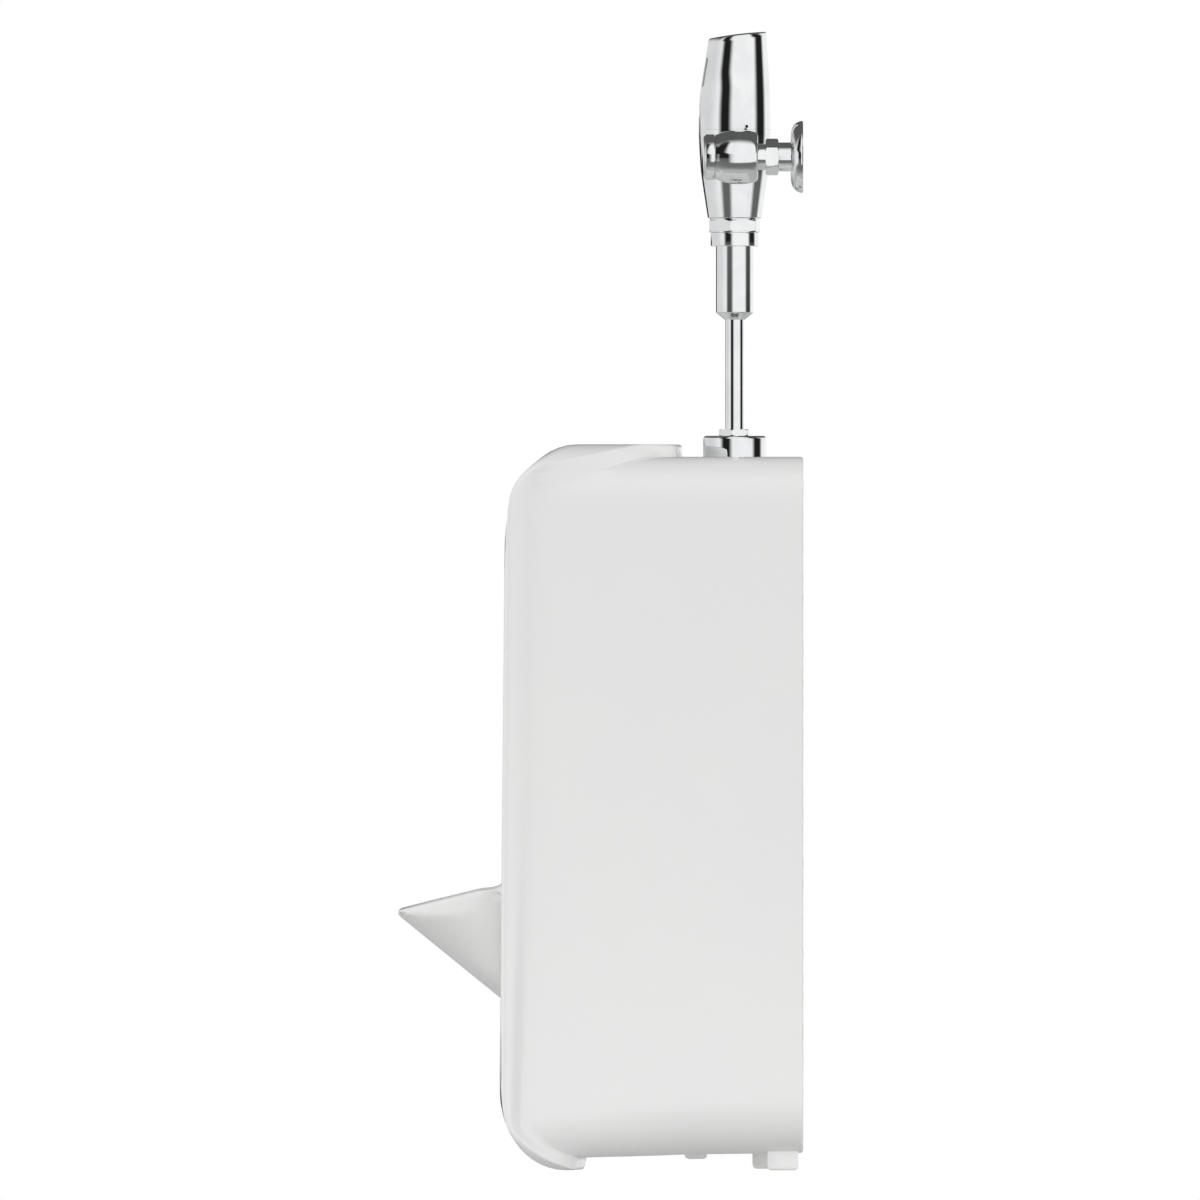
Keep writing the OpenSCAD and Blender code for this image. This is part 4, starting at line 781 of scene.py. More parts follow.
for x, half, depth in ((-150, 28, 36), (150, 28, 36), (0, 44.8, 50)):
    carve(china, closed_skin([ring + (x, 0, 0) for ring in foot_rings(half, depth)], "leg"), "UNION")
tab = [level_ring((-half, half), depth, h) for half, depth, h in
       ((28, (99, 114), 9.5), (29.4, (97, 117), 10.6), (30, (96, 118), 12), (30, (96, 118), 18))]
carve(china, closed_skin(tab, "tab"), "UNION")


def smooth_shaded(piece, degrees=32):
    """Smooth shading with crisp edges where the surface turns sharply."""
    form = bmesh.new()
    form.from_mesh(piece.data)
    cleaned(form, 2e-6)
    form.to_mesh(piece.data)
    form.free()
    for face in piece.data.polygons:
        face.use_smooth = True
    piece.data.set_sharp_from_angle(angle=math.radians(degrees))


def coat(piece, material):
    """Gives a piece one finish all over."""
    piece.data.materials.clear()
    piece.data.materials.append(material)


smooth_shaded(china)


def paint(tree, shader, colour, gloss):
    """Leads a changing colour and a changing gloss into the shader."""
    tree.links.new(colour, shader.inputs["Base Color"])
    tree.links.new(gloss, shader.inputs["Roughness"])


def bump(tree, shader, height, depth_mm, strength, place=(-200, -500)):
    made = add_node(tree, "ShaderNodeBump", place)
    sockets = [made.inputs[name] for name in ("Strength", "Distance", "Height")]
    feed(tree, sockets, (strength, depth_mm / 1000, height))
    tree.links.new(made.outputs["Normal"], shader.inputs["Normal"])


glaze, glaze_tree, glaze_shader = new_finish("glazed_white_china")
glaze_at = place_on(glaze_tree)
_, out_from_wall, height = axes_of(glaze_tree, glaze_at, (-1300, -700))
pooled = noise(glaze_tree, glaze_at, 7, 2, (-1300, 300))
glazed = blend_colours(glaze_tree, pooled, (0.845, 0.85, 0.845), (0.875, 0.875, 0.865), (-900, 300))
speck = spread(glaze_tree, noise(glaze_tree, glaze_at, 420, 1, (-1300, 100)), 0.80, 0.86, 0, 1, (-1100, 100))
speck = sums(glaze_tree, "MULTIPLY", speck, 0.35, (-900, 100))
glazed = blend_colours(glaze_tree, speck, glazed, (0.52, 0.49, 0.44), (-700, 200))

# Glaze is wiped off where the china lies on the wall and where it stood in the kiln.
bisque = noise(glaze_tree, glaze_at, 900, 2, (-1300, -100))
bisque_colour = blend_colours(glaze_tree, bisque, (0.70, 0.66, 0.59), (0.79, 0.755, 0.69), (-900, -100))
wander = noise(glaze_tree, glaze_at, 60, 3, (-1300, -400))
wander = spread(glaze_tree, wander, 0, 1, -0.004, 0.0015, (-1100, -400))
at_wall = sums(glaze_tree, "ADD", out_from_wall, wander, (-1000, -600))
at_wall = spread(glaze_tree, at_wall, -0.0022, -0.0012, 0, 1, (-800, -600))
at_foot = sums(glaze_tree, "MULTIPLY", wander, 0.15, (-1100, -800))
at_foot = sums(glaze_tree, "SUBTRACT", height, at_foot, (-1000, -800))
at_foot = spread(glaze_tree, at_foot, -0.1283, -0.1294, 0, 1, (-800, -800))
bare = sums(glaze_tree, "MAXIMUM", at_wall, at_foot, (-600, -700))
gloss = spread(glaze_tree, noise(glaze_tree, glaze_at, 30, 3, (-1300, -250)), 0.3, 0.7, 0.045, 0.075, (-900, -300))
gloss = sums(glaze_tree, "MAXIMUM", gloss, sums(glaze_tree, "MULTIPLY", bare, 0.62, (-600, -400)), (-400, -200))
paint(glaze_tree, glaze_shader, blend_colours(glaze_tree, bare, glazed, bisque_colour, (-400, 200)), gloss)
ripple = sums(glaze_tree, "MULTIPLY", noise(glaze_tree, glaze_at, 22, 1, (-1300, -1000)), 0.6, (-1100, -1000))
grit = sums(glaze_tree, "MULTIPLY", bare, 0.4, (-1100, -1200))
grit = sums(glaze_tree, "MULTIPLY", bisque, grit, (-1000, -1200))
bump(glaze_tree, glaze_shader, sums(glaze_tree, "ADD", ripple, grit, (-900, -1000)), 0.12, 0.5)
coat(china, glaze)
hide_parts("china_body")
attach(china, "root")

# Outlet flange, gasket, bolts and nuts: the brass casting on the wall that the china is drawn against.
# The flange is sand-cast and faced on its rubbing side; the bolts go through two lugs of the china.
def effect_group(name, inputs, outputs):
    """An empty node group: itself, its inputs, its outputs and the place on the object."""
    group = bpy.data.node_groups.new(name, "ShaderNodeTree")
    for way, sockets in (("INPUT", inputs), ("OUTPUT", outputs)):
        for socket in sockets:
            group.interface.new_socket(socket, in_out=way, socket_type="NodeSocketFloat")
    given = add_node(group, "NodeGroupInput", (-900, 0)).outputs
    wanted = add_node(group, "NodeGroupOutput", (400, 0)).inputs
    return group, given, wanted, place_on(group, (-900, 300))


polish_marks, given, wanted, marks_at = effect_group(
    "polish_marks", ("Smear Scale", "Hairline Scale"), ("Smear", "Hairline"))
smear = noise(polish_marks, marks_at, given["Smear Scale"], 4, (-500, 200))
smear.node.inputs["Distortion"].default_value = 0.8
drawn_out = add_node(polish_marks, "ShaderNodeMapping", (-700, -200))
drawn_out.inputs["Scale"].default_value = (1, 1, 0.04)
polish_marks.links.new(marks_at, drawn_out.inputs["Vector"])
hairline = noise(polish_marks, drawn_out.outputs[0], given["Hairline Scale"], 2, (-500, -200))
polish_marks.links.new(smear, wanted["Smear"])
polish_marks.links.new(hairline, wanted["Hairline"])


def finish_from(effect_of, values, name, colours, gloss, shade_range, gloss_range, relief, relief_mm, strength):
    """A finish whose colour and gloss both follow an effect's first output, and its relief the second."""
    made, tree, shader = new_finish(name)
    effect = add_node(tree, "ShaderNodeGroup", (-900, 0), node_tree=effect_of)
    feed(tree, effect.inputs, values)
    shade = spread(tree, effect.outputs[0], *shade_range, 0, 1, (-650, 200))
    paint(tree, shader, blend_colours(tree, shade, *colours, (-400, 200)),
          spread(tree, effect.outputs[0], *gloss_range, *gloss, (-400, -50)))
    bump(tree, shader, effect.outputs[relief], relief_mm, strength)
    return made, shader


def metal_finish(name, dull, bright, gloss, smear_scale, hairline_scale, hairline_mm):
    """A metal with smears of handling in its gloss and hairlines left by its polishing."""
    made, shader = finish_from(polish_marks, (smear_scale, hairline_scale), name, (dull, bright), gloss,
                               (0.35, 0.65), (0.3, 0.75), "Hairline", hairline_mm, 0.4)
    shader.inputs["Metallic"].default_value = 1.0
    return made


cast_brass = metal_finish("cast_brass", (0.56, 0.40, 0.17), (0.74, 0.57, 0.28), (0.26, 0.42), 45, 700, 0.02)

moulded_skin, given, wanted, skin_at = effect_group("moulded_skin", ("Grain Scale",), ("Bloom", "Grain"))
moulded_skin.links.new(noise(moulded_skin, skin_at, 55, 4, (-500, 200)), wanted["Bloom"])
grain_cells = add_node(moulded_skin, "ShaderNodeTexVoronoi", (-500, -200))
feed(moulded_skin, (grain_cells.inputs["Vector"], grain_cells.inputs["Scale"]), (skin_at, given["Grain Scale"]))
moulded_skin.links.new(grain_cells.outputs["Distance"], wanted["Grain"])


def moulded_finish(name, dark, pale, gloss, grain_scale, grain_mm):
    """Rubber or plastic as it leaves its mould: a fine grain, and a bloom that comes and goes."""
    return finish_from(moulded_skin, (grain_scale,), name, (dark, pale), gloss,
                       (0.3, 0.7), (0.3, 0.7), "Grain", grain_mm, 0.5)[0]


black_rubber = moulded_finish("black_rubber", (0.018, 0.018, 0.019), (0.035, 0.034, 0.033),
                              (0.62, 0.78), 2600, 0.04)


def dress(material, *names):
    """Gives CAD solids a finish; their shapes stay as they are."""
    for name in names:
        coat(bpy.data.objects[name], material)


def new_piece(mesh, material, node, body="root"):
    """Puts a finished mesh in the place of one CAD node, on its body, or on none where it is blended."""
    piece = stood(mesh)
    smooth_shaded(piece)
    coat(piece, material)
    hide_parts(node)
    if body:
        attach(piece, body)
    return piece


dress(cast_brass, "outlet_flange", "outlet_bolts", "outlet_nuts")
dress(black_rubber, "outlet_gasket")


# Drain strainer: a pressed stainless plate with round holes, on a rubber gasket in the bowl's floor.
# Its rim is rolled over, and two slotted screws hold it down.
spun_steel = metal_finish("spun_steel", (0.50, 0.51, 0.52), (0.66, 0.67, 0.68), (0.16, 0.28), 60, 1500, 0.012)
dress(black_rubber, "strainer_gasket")


def turned(profile, name, place, n=96, whole=False):
    """A turned piece: radius and height spun round an axis. A whole profile starts and ends on the axis."""
    a = full_turn(n)
    rings = [np.stack([r * np.cos(a), r * np.sin(a), np.full(n, float(z))], -1) for r, z in profile]
    if not whole:
        rings.append(rings[0])
    return closed_skin(rings, name, caps=False, place=place)


def eased(profile, r, n=4, closed=True):
    """The profile with each of its corners rounded by up to r, where the sides leave room for it."""
    points = [np.array(p, float) for p in profile]
    made = []
    for i, here in enumerate(points):
        if not closed and i in (0, len(points) - 1):
            made.append(tuple(here))
            continue
        before, after = points[i - 1] - here, points[(i + 1) % len(points)] - here
        back, ahead = np.linalg.norm(before), np.linalg.norm(after)
        spare = min(r, 0.42 * back, 0.42 * ahead)
        a, b = here + before / back * spare, here + after / ahead * spare
        for t in np.linspace(0, 1, n):
            made.append(tuple((1 - t) ** 2 * a + 2 * t * (1 - t) * here + t ** 2 * b))
    return made


def from_drain(points):
    return (points + (0, -sump_depth, floor_h - foot_drop)) / 1000


def holes_in(piece, centres, r, low, high, place, n=28):
    """Drills a row of upright round holes."""
    for x, y in centres:
        a = full_turn(n)
        rings = [np.stack([x + r * np.cos(a), y + r * np.sin(a), np.full(n, float(z))], -1) for z in (low, high)]
        carve(piece, closed_skin(rings, "drill", place=place))


plate = eased([(0, 3.5), (37.6, 3.5), (38, 3.1), (38, 1.5), (0, 1.5)], 0.7, closed=False)
strainer = new_piece(turned(plate, "drain_strainer_pressed", from_drain, whole=True),
                     spun_steel, "drain_strainer")
hole_pitch = 8.62
strainer_holes = [(0, 0)]
for k in (1, 2):
    strainer_holes += [(k * hole_pitch * math.cos(a), k * hole_pitch * math.sin(a))
                       for a in (math.pi / 3 * i / k for i in range(6 * k))]
holes_in(strainer, strainer_holes, 2.5, 0, 5, from_drain)
holes_in(strainer, [(-screw_x, 0), (screw_x, 0)], 2.3, 0, 5, from_drain)
smooth_shaded(strainer)
screw_shape = eased([(0, 5.1), (2.4, 5.0), (3.6, 4.4), (3.8, 3.5), (2, 3.5), (2, -5), (1.6, -5.5), (0, -5.5)],
                    0.3, closed=False)
screws = [turned(screw_shape, "screw", lambda points, x=x: from_drain(points + (x, 0, 0)), 32, True)
          for x in (-screw_x, screw_x)]


def joined(meshes, name):
    """Several meshes as one."""
    form = bmesh.new()
    for mesh in meshes:
        form.from_mesh(mesh)
        bpy.data.meshes.remove(mesh)
    made = bpy.data.meshes.new(name)
    form.to_mesh(made)
    form.free()
    return made


strainer_screws = new_piece(joined(screws, "strainer_screws_slotted"), spun_steel, "strainer_screws")
for x in (-screw_x, screw_x):
    slot_levels = [level_ring((x - 4, x + 4), (-0.5, 0.5), z) for z in (4.3, 6)]
    carve(strainer_screws, closed_skin(slot_levels, "slot_cut", place=from_drain))
smooth_shaded(strainer_screws)


# Wall hangers: two bent plates of galvanised steel, screwed to the wall.
# Each lip stands in a slot of the china, and the china's weight rests on the shelf.
zinc, zinc_tree, zinc_shader = new_finish("galvanised_steel")
zinc_shader.inputs["Metallic"].default_value = 1.0
zinc_at = place_on(zinc_tree, (-1200, 0))
spangle = add_node(zinc_tree, "ShaderNodeTexVoronoi", (-900, 100))
feed(zinc_tree, (spangle.inputs["Vector"], spangle.inputs["Scale"]), (zinc_at, 160))
flake = add_node(zinc_tree, "ShaderNodeSeparateColor", (-700, 100))
zinc_tree.links.new(spangle.outputs["Color"], flake.inputs[0])
paint(zinc_tree, zinc_shader,
      blend_colours(zinc_tree, flake.outputs[0], (0.42, 0.44, 0.46), (0.62, 0.64, 0.66), (-400, 200)),
      spread(zinc_tree, flake.outputs[1], 0, 1, 0.3, 0.5, (-400, -50)))
bump(zinc_tree, zinc_shader, noise(zinc_tree, zinc_at, 300, 3, (-900, -300)), 0.05, 0.4)
dress(zinc, "wall_hanger_left", "wall_hanger_right")


# Spud and its locknut clamp the china between two rubber rings, under a spun chrome cover.
# The slip nut on top squeezes a gasket round the flush tube, so it slides no more.
dress(cast_brass, "spud", "spud_locknut")
dress(black_rubber, "spud_seal", "spud_washer", "slip_gasket")
chrome = metal_finish("bright_chrome", (0.80, 0.81, 0.82), (0.88, 0.885, 0.89), (0.018, 0.045), 38, 900, 0.0015)
ledge, supply, seam = 582.5, 882.5, 911.3


def from_valve_axis(points):
    return (points + (0, -valve_depth, 0)) / 1000


cover_cup = [(13.7, ledge + 20), (30, ledge + 20), (30, ledge), (31.5, ledge), (31.5, ledge + 18.5)]
cover_cup += [(28.5 + 3 * math.cos(a), ledge + 18.5 + 3 * math.sin(a)) for a in np.linspace(0.2, math.pi / 2, 8)]
cover_cup += [(14.2, ledge + 21.5), (13.7, ledge + 21.2)]
new_piece(turned(cover_cup, "spud_cover_spun", from_valve_axis), chrome, "spud_cover")


def hexagon_nut(name, node, across, low, high, turn, bore, place, more=()):
    """A nut: a hexagon bar turned down at both ends, so each flat ends in a curve."""
    corner = across / 2 / math.cos(math.pi / 6)
    chamfer = (corner - across / 2) * 0.8
    bar = []
    for z in (low, high):
        ring = []
        for k in range(6):
            at, other = (math.radians(turn + 60 * j) for j in (k, k + 1))
            for t in (0.004, 0.25, 0.5, 0.75, 0.996):
                ring.append((corner * ((1 - t) * math.cos(at) + t * math.cos(other)),
                             corner * ((1 - t) * math.sin(at) + t * math.sin(other)), z))
        bar.append(np.array(ring))
    blank = stood(closed_skin(bar, name, place=place))
    ends = [(0, low), (corner - chamfer, low), (corner, low + 0.6 * chamfer),
            (corner, high - 0.6 * chamfer), (corner - chamfer, high), (0, high)]
    carve(blank, turned(eased(ends, 0.5, closed=False), "turned_ends", place, 128, True), "INTERSECT")
    through_bore = [(0, low - 1), (bore, low - 1), (bore, high + 1), (0, high + 1)]
    for profile, operation in [(through_bore, "DIFFERENCE"), *more]:
        carve(blank, turned(profile, "turned_part", place, 128, profile[0][0] == 0), operation)
    mesh = blank.data
    bpy.data.objects.remove(blank)
    return new_piece(mesh, chrome, node)


cover_top = ledge + 21.5
recess = [(0, cover_top - 1), (13.4, cover_top - 1), (13.4, cover_top + 4.55), (0, cover_top + 4.55)]
hexagon_nut("slip_nut_turned", "slip_nut", 29, cover_top, cover_top + 6.5, 50, 9.8, from_valve_axis,
            [(recess, "DIFFERENCE")])


# Flush tube and vacuum breaker: plated brass tube, swaged to a cone where the two sizes meet.
# A rubber sack in a cage inside lets air in when the supply sucks; a collar closes its top.
collar_low, collar_high, cone_top, cone_low = 794.0, 808.0, 727.5, 720.5
breaker_flange, breaker_r, flange_r = 810.5, 18.75, 20.3
tube = [(9.5, ledge - 6), (9.5, cone_low + 6), (8.3, cone_low + 6), (8.3, ledge - 6)]
new_piece(turned(tube, "flush_tube_drawn", from_valve_axis, 72), chrome, "flush_tube")
breaker = [(9.5, cone_low), (10.4, cone_low), (breaker_r, cone_top), (breaker_r, breaker_flange),
           (flange_r, breaker_flange), (flange_r, breaker_flange + 1.2), (17.55, breaker_flange + 1.2),
           (17.55, cone_top + 4), (9.5, cone_top - 1)]
new_piece(turned(eased(breaker, 0.9), "vacuum_breaker_tube_swaged", from_valve_axis), chrome, "vacuum_breaker_tube")
collar = eased([(breaker_r, collar_low), (24, collar_low), (24, collar_high), (breaker_r, collar_high)], 1.2)
new_piece(turned(collar, "breaker_collar_turned", from_valve_axis), chrome, "breaker_collar")
dress(black_rubber, "breaker_sack")
grey_plastic = moulded_finish("grey_plastic", (0.16, 0.165, 0.175), (0.20, 0.205, 0.21), (0.38, 0.5), 1800, 0.02)
dress(grey_plastic, "breaker_cage")


# Coupling nut: forged brass, turned, polished and chromed, with a washer face under its hexagon.
# It draws the flange of the vacuum breaker up against the foot of the valve body.
washer_face = eased([(17, 808), (25.6, 808), (25.6, 809.3), (17, 809.3)], 0.3)
flange_seat = [(0, 800), (breaker_r, 800), (breaker_r, breaker_flange), (flange_r, breaker_flange),
               (flange_r, 830), (0, 830)]
hexagon_nut("coupling_nut_turned", "coupling_nut", 46.8, 808.5, 820.5, 50, breaker_r, from_valve_axis,
            [(washer_face, "UNION"), (flange_seat, "DIFFERENCE")])


# Valve body: a bell-shaped brass casting, bored for the piston and polished outside before plating.
# The boss on its side takes the tailpiece, and four screws hold the inner cover in its top.
bell = [(22.7, 820.7), (25, 820.7), (25, 822.0), (26.2, 822.2), (27, 822.9)]
bell += [tuple(p) for p in through([(27, 822.9), (29.3, 838), (31.6, 853), (33.9, 870), (35.3, 890), (36, 906)],
                                   26)[1:]]
bell += [(36, 910.9), (35.6, 911.3), (31.4, 911.3), (31, 910.9), (31, 907.8), (26, 907.8), (26, 868.5), (14, 868.5),
         (14, 813), (20.3, 813), (20.3, 820.7)]
valve = new_piece(turned(bell, "valve_body_polished", from_valve_axis, 128), chrome, "valve_body")


def across_bar(piece, x, r, operation="DIFFERENCE", n=64):
    """Cuts or joins a round bar that lies along x at the height of the supply."""
    bar = [np.array([(at, r * math.cos(a), supply + r * math.sin(a)) for a in full_turn(n)]) for at in x]
    carve(piece, closed_skin(bar, "bar", place=from_valve_axis), operation)


across_bar(valve, (27, 48), 19, "UNION", 96)
across_bar(valve, (20, 60), 13)
across_bar(valve, (38, 60), 16)
screw_holes = [(28.7 * math.cos(a), 28.7 * math.sin(a)) for a in np.radians([45, 135, 225, 315])]
holes_in(valve, screw_holes, 1.5, 898.8, 915, from_valve_axis, 20)
smooth_shaded(valve)


# Flush piston: turned brass with a rubber seal, lifted by the water when the solenoid opens.
# The inner cover closes the chamber above it, with the solenoid, its plunger and spring in the middle.
bare_brass = metal_finish("turned_brass", (0.70, 0.54, 0.26), (0.80, 0.64, 0.34), (0.14, 0.24), 60, 1600, 0.008)
dress(bare_brass, "flush_piston", "inner_cover")
dress(black_rubber, "piston_seal")
dress(spun_steel, "inner_cover_screws", "solenoid_plunger")
black_plastic = moulded_finish("black_plastic", (0.012, 0.012, 0.013), (0.022, 0.022, 0.023),
                               (0.32, 0.45), 1500, 0.015)
dress(black_plastic, "solenoid_coil")
spring_steel = metal_finish("spring_steel", (0.44, 0.45, 0.46), (0.58, 0.59, 0.60), (0.2, 0.32), 90, 1200, 0.01)


def wound_spring(name, r, wire, low, high, turns, place):
    """A coil of round wire with closed ends."""
    steps = int(turns * 36)
    rings = []
    for i in range(steps + 1):
        t = i / steps
        level = t * t * (3 - 2 * t) * 0.35 + t * 0.65
        a = 2 * math.pi * turns * t
        centre = np.array([r * math.cos(a), r * math.sin(a), low + wire + (high - low - 2 * wire) * level])
        out, up = np.array([math.cos(a), math.sin(a), 0]), np.array([0, 0, 1])
        around = full_turn(10)[:, None]
        rings.append(centre + wire * (np.cos(around) * out + np.sin(around) * up))
    return closed_skin(rings, name, place=place)


coil_spring = new_piece(wound_spring("plunger_spring_wound", 3.4, 0.4, 928.3, 934.8, 5, from_valve_axis),
                        spring_steel, "plunger_spring")
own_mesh(coil_spring)


# Electronics: a moulded chassis on the coil carries the sensor, its board and two battery cells.
# The board is green glass epoxy with etched copper; the cells wear plain shrunk sleeves.
dress(grey_plastic, "chassis")
dress(black_plastic, "sensor_module")


def mottled(tree, place_at, scale, detail, low_gloss, high_gloss, place):
    """A gloss that changes softly over the surface."""
    cloudy = noise(tree, place_at, scale, detail, (place[0] - 400, place[1]))
    return spread(tree, cloudy, 0.3, 0.7, low_gloss, high_gloss, place)


board, board_tree, board_shader = new_finish("green_circuit_board")
board_at = place_on(board_tree, (-1300, 0))
stood_up = add_node(board_tree, "ShaderNodeMapping", (-1200, 200))
stood_up.inputs["Rotation"].default_value = (math.radians(90), 0, 0)
board_tree.links.new(board_at, stood_up.inputs["Vector"])
tracks = add_node(board_tree, "ShaderNodeTexBrick", (-1000, 200))
feed(board_tree, [tracks.inputs[name] for name in ("Vector", "Scale", "Mortar Size")],
     (stood_up.outputs[0], 300, 0.03))
paint(board_tree, board_shader,
      blend_colours(board_tree, tracks.outputs["Fac"], (0.012, 0.12, 0.045), (0.03, 0.22, 0.085), (-600, 200)),
      mottled(board_tree, board_at, 200, 2, 0.25, 0.4, (-600, -100)))
bump(board_tree, board_shader, tracks.outputs["Fac"], 0.04, 0.6)
dress(board, "circuit_board")
sleeve, sleeve_tree, sleeve_shader = new_finish("battery_sleeve")
sleeve_at = place_on(sleeve_tree, (-1300, 0))
sleeve_height = axes_of(sleeve_tree, sleeve_at, (-1100, 0))[2]
cell_end = between(sleeve_tree, sleeve_height, 0.9655, 0.99, 0.0004, (-800, 0))
paint(sleeve_tree, sleeve_shader,
      blend_colours(sleeve_tree, cell_end, (0.06, 0.065, 0.075), (0.55, 0.42, 0.2), (-400, 200)),
      mottled(sleeve_tree, sleeve_at, 120, 3, 0.25, 0.4, (-600, -300)))
dress(sleeve, "battery_pack")


# Top cover: die-cast zinc, polished and chromed, upright at the seam and tapered to a slanted top.
# It opens for the sensor window and the button, and two socket screws lock it to the inner cover.
def cover_rings(inset, n=128):
    """Rings up the outside and over the top, each circle tipped a little more than the one below."""
    slant = math.atan2(7, 58.2)
    rings = []
    shape = [(0, 36, 0.0), (4, 36, 0.0)]
    for h in np.linspace(7, 88.8, 30):
        up = (h - 4) / 86.5
        taper = 1.19 * up * up if up < 0.6 else 1.4286 * (up - 0.3)
        shape.append((h, 36 - 6.9 * taper, taper))
    shape += [(89.0 + 1.9 * math.sin(a), 27.4 + 1.6 * math.cos(a), 1.0) for a in np.linspace(0.25, math.pi / 2, 6)]
    shape += [(90.9 + 1.1 * (1 - (r / 27.4) ** 2), r, 1.0) for r in (25, 22, 18, 13, 8, 3, 0.5)]
    for rise, r, share in shape:
        r = max(r - inset, 0.3)
        across, out = r * np.cos(full_turn(n)), r * np.sin(full_turn(n))
        tip = slant * share
        level = seam + rise - inset * (rise > 80) + 3.5 * share
        rings.append(np.stack([across, 2.9 * share + out * math.cos(tip), level + out * math.sin(tip)], -1))
    return rings


outside, inside = cover_rings(0), cover_rings(1.6)
cover_skin = closed_skin([*inside[::-1], *outside], "top_cover_cast", place=from_valve_axis)
cover = new_piece(cover_skin, chrome, "top_cover")


def window_bar(grow, r=3.5, half=13, half_h=15, middle=968.3):
    """A bar with rounded corners, of the window's width and height, through the cover's front."""
    ring = []
    for side, up, start in ((1, 1, 0), (-1, 1, 90), (-1, -1, 180), (1, -1, 270)):
        for a in np.radians(np.linspace(start, start + 90, 8)):
            ring.append((side * (half - r) + (r + grow) * math.cos(a), 0,
                         middle + up * (half_h - r) + (r + grow) * math.sin(a)))
    rings = [np.array(ring) + (0, y, 0) for y in (-40.0, -20.0)]
    return closed_skin(rings, "window_bar", place=from_valve_axis)


def front_bar(r, y, z, n=64):
    """A round bar that lies from front to back at the height z."""
    bar = [np.array([(r * math.cos(a), at, z + r * math.sin(a)) for a in full_turn(n)]) for at in y]
    return closed_skin(bar, "bar", place=from_valve_axis)


def cover_screw_bar(r, start, stop, turn, n=24):
    """A round bar that points at the valve's axis, where a cover screw goes in."""
    way = np.array([math.cos(math.radians(turn)), math.sin(math.radians(turn)), 0])
    side = np.array([-way[1], way[0], 0])
    a = full_turn(n)[:, None]
    ring = r * (np.cos(a) * side + np.sin(a) * np.array([0, 0, 1])) + (0, 0, seam + 2.6)
    return closed_skin([ring + way * start, ring + way * stop], "screw_bar", place=from_valve_axis)


button_h = seam + 17
carve(cover, window_bar(0))
carve(cover, front_bar(6.3, (-40, -25), button_h))
lock_screws = []
for turn in (19.5, 160.5):
    carve(cover, cover_screw_bar(1.6, 30, 40, turn))
    lock = stood(cover_screw_bar(1.55, 30.75, 34.0, turn))
    carve(lock, cover_screw_bar(0.95, 32.4, 37, turn, 6))
    lock_screws.append(lock.data)
    bpy.data.objects.remove(lock)
smooth_shaded(cover)
black_steel = metal_finish("blackened_steel", (0.03, 0.03, 0.032), (0.06, 0.06, 0.062), (0.3, 0.42), 90, 1500, 0.01)
new_piece(joined(lock_screws, "cover_screws_socket"), black_steel, "cover_screws")


# Sensor window: smoked acrylic that passes infra-red light, set flush in the cover's front.
# Behind it the two round lenses of the eye just show.
smoked, smoked_tree, smoked_shader = new_finish("smoked_acrylic")
smoked_shader.inputs["Coat Weight"].default_value = 1
smoked_at = place_on(smoked_tree)
smoked_x, _, smoked_z = axes_of(smoked_tree, smoked_at, (-1300, 0))
lens_h, lens_r = 0.9653, 0.0038
lenses = []
for lens_x in (-0.006, 0.006):
    across = sums(smoked_tree, "SUBTRACT", smoked_x, lens_x, (-1100, 200))
    above = sums(smoked_tree, "SUBTRACT", smoked_z, lens_h, (-1100, -200))
    away = diagonal(smoked_tree, across, above, (-950, 100))
    lenses.append(between(smoked_tree, away, -1, lens_r, 0.0003, (-600, 0)))
lenses = sums(smoked_tree, "MAXIMUM", *lenses, (-300, 0))
paint(smoked_tree, smoked_shader,
      blend_colours(smoked_tree, lenses, (0.006, 0.006, 0.007), (0.022, 0.008, 0.014), (-200, 200)),
      mottled(smoked_tree, smoked_at, 60, 2, 0.025, 0.05, (-400, -300)))
pane = stood(closed_skin(cover_rings(0.2), "sensor_window_moulded", place=from_valve_axis))
carve(pane, closed_skin(cover_rings(2.6), "pane_back", place=from_valve_axis))
carve(pane, window_bar(-0.15), "INTERSECT")
pane_mesh = pane.data
bpy.data.objects.remove(pane)
new_piece(pane_mesh, smoked, "sensor_window")


# Override button: a chromed plunger in the cover's front, pushed in against its spring.
# Its face is dished for a fingertip, and a shoulder behind the cover keeps it from falling out.
def from_button(points):
    return (np.stack([points[..., 0], points[..., 2], points[..., 1] + button_h], -1) + (0, -valve_depth, 0)) / 1000


cap_shape = eased([(0, -34.9), (3.6, -35.15), (5.3, -35.4), (6, -34.8), (6, -32.8), (7.2, -32.8), (7.2, -31.2),
                   (6, -31.2), (6, -22), (4.5, -22), (4.5, -29), (0, -29)], 0.35, closed=False)
new_piece(turned(cap_shape, "override_button_turned", from_button, 64, True), chrome, "override_button", "button")
push_spring = new_piece(wound_spring("button_spring_wound", 3.6, 0.5, -29, -14, 6, from_button), spring_steel,
                        "button_spring")
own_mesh(push_spring)


# Tailpiece, its rubber ring and its nut join the valve body to the control stop.
# The tube is cut from plated brass pipe; the nut is turned from hexagon bar.
def from_tail(points):
    return (np.stack([points[..., 2], points[..., 0], points[..., 1] + supply], -1) + (0, -valve_depth, 0)) / 1000


tailpiece = eased([(13, 38), (16, 38), (16, 93.3), (13, 93.3)], 0.4)
new_piece(turned(tailpiece, "tailpiece_cut", from_tail, 72), chrome, "tailpiece")
dress(black_rubber, "tailpiece_ring")
hexagon_nut("tailpiece_nut_turned", "tailpiece_nut", 44, 60.3, 78.3, 0, 16.3, from_tail,
            [([(0, 64.3), (19.5, 64.3), (19.5, 90), (0, 90)], "DIFFERENCE")])


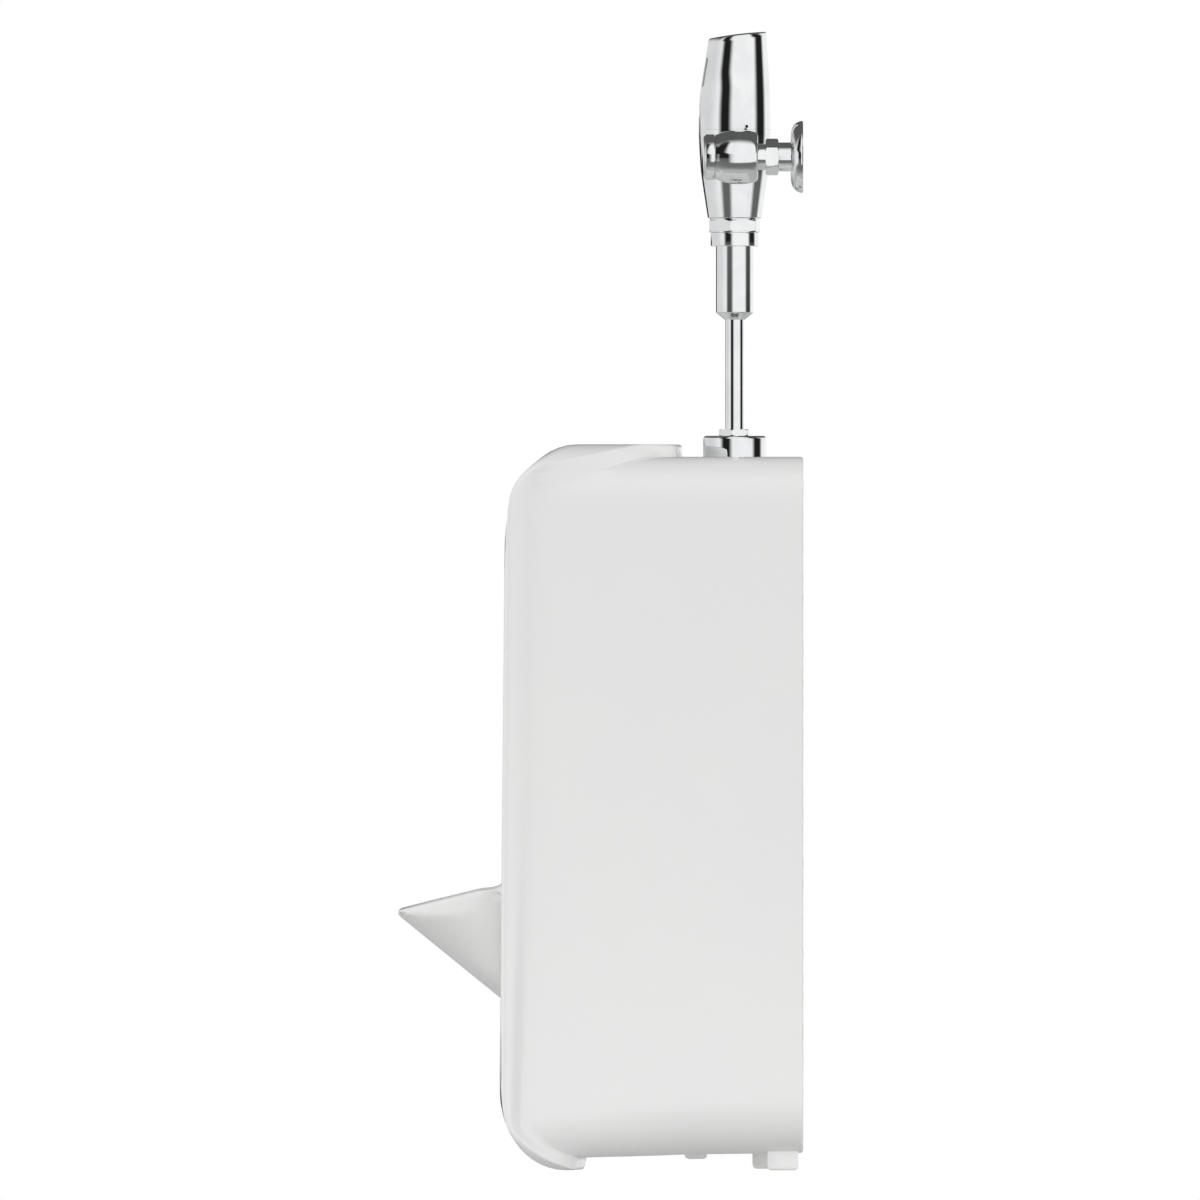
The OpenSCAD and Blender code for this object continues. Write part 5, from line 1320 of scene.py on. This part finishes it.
# Control stop: a barrel-shaped brass casting with a neck to the supply and a boss to the tailpiece.
# A slotted screw under the cap drives the poppet onto its seat; the cap is a plain turned dome.
stop_x = 120.5


def from_stop_axis(points):
    return np.stack([points[..., 0] + stop_x, -points[..., 2], points[..., 1] + supply], -1) / 1000


barrel = [(9, 33), (12.6, 33), (13, 33.4), (13, 44.2), (13.4, 45), (21.4, 45)]
barrel += [tuple(p) for p in through([(22.8, 45.3), (24.6, 47.2), (26.2, 53), (27.05, 60.5), (27.2, 66.5),
                                      (26.5, 74.5), (24.6, 81.5), (22.5, 86.6)], 26)]
barrel += [(22.2, 87.4), (21.4, 88), (15, 88), (15, 51), (9, 51)]
stop = new_piece(turned(barrel, "stop_body_cast", from_stop_axis, 128), chrome, "stop_body")
across_bar(stop, (66.3, 104), 19.5, "UNION", 96)
across_bar(stop, (60, 93.8), 16.3, n=96)
across_bar(stop, (60, 118), 13, n=96)
smooth_shaded(stop)
cap = [(20.8, 88), (22, 88), (22.8, 88.8), (22.8, 96.3), (22.2, 97.3), (21.2, 98)]
cap += [(21.2 * math.cos(a), 98 + 4 * math.sin(a)) for a in np.linspace(0.12, math.pi / 2, 12)]
cap += [(0, 97), (20.8, 97)]
new_piece(turned(cap, "stop_cap_turned", from_stop_axis), chrome, "stop_cap")
dress(bare_brass, "stop_bonnet", "stop_screw", "stop_poppet")
stem_spring = new_piece(wound_spring("stop_spring_wound", 8.3, 0.65, 58.4, 80, 6, from_stop_axis), spring_steel,
                        "stop_spring", None)
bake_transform(stem_spring)


# Supply: the nut draws the adapter onto the stop's neck, a chrome sleeve hides the pipe.
# The wall flange is spun brass, plated, held on the sleeve by a small set screw underneath.
hexagon_nut("supply_nut_turned", "supply_nut", 31.8, 24.5, 37.5, 30, 12.35, from_stop_axis,
            [([(0, 31), (13, 31), (13, 50), (0, 50)], "DIFFERENCE")])
dress(bare_brass, "supply_adapter")
cover_sleeve = eased([(13.3, 0), (14.5, 0), (14.5, 24.5), (13.3, 24.5)], 0.25)
new_piece(turned(cover_sleeve, "supply_sleeve_cut", from_stop_axis, 72), chrome, "supply_sleeve")
dome = [(14.6, 0), (17.6, 0), (17.6, 4), (31, 4), (31, 0), (35.2, 0), (36, 0.8), (36, 2.0)]
dome += [tuple(p) for p in through([(36, 2), (35.2, 4.6), (33.4, 7.6), (30.5, 10), (26.5, 11.5), (22, 12.15),
                                    (17, 12.2)], 30)]
dome += [(15.0, 12.2), (14.6, 11.8)]
flange = new_piece(turned(dome, "wall_flange_spun", from_stop_axis, 128), chrome, "wall_flange")
set_screw_hole = [np.array([(1.5 * math.cos(a), -reach_out, 9.0 + 1.5 * math.sin(a)) for a in full_turn(24)])
                  for reach_out in (13.0, 60.0)]
carve(flange, closed_skin(set_screw_hole, "set_screw_hole", place=from_stop_axis))
smooth_shaded(flange)
dress(spun_steel, "flange_screw")
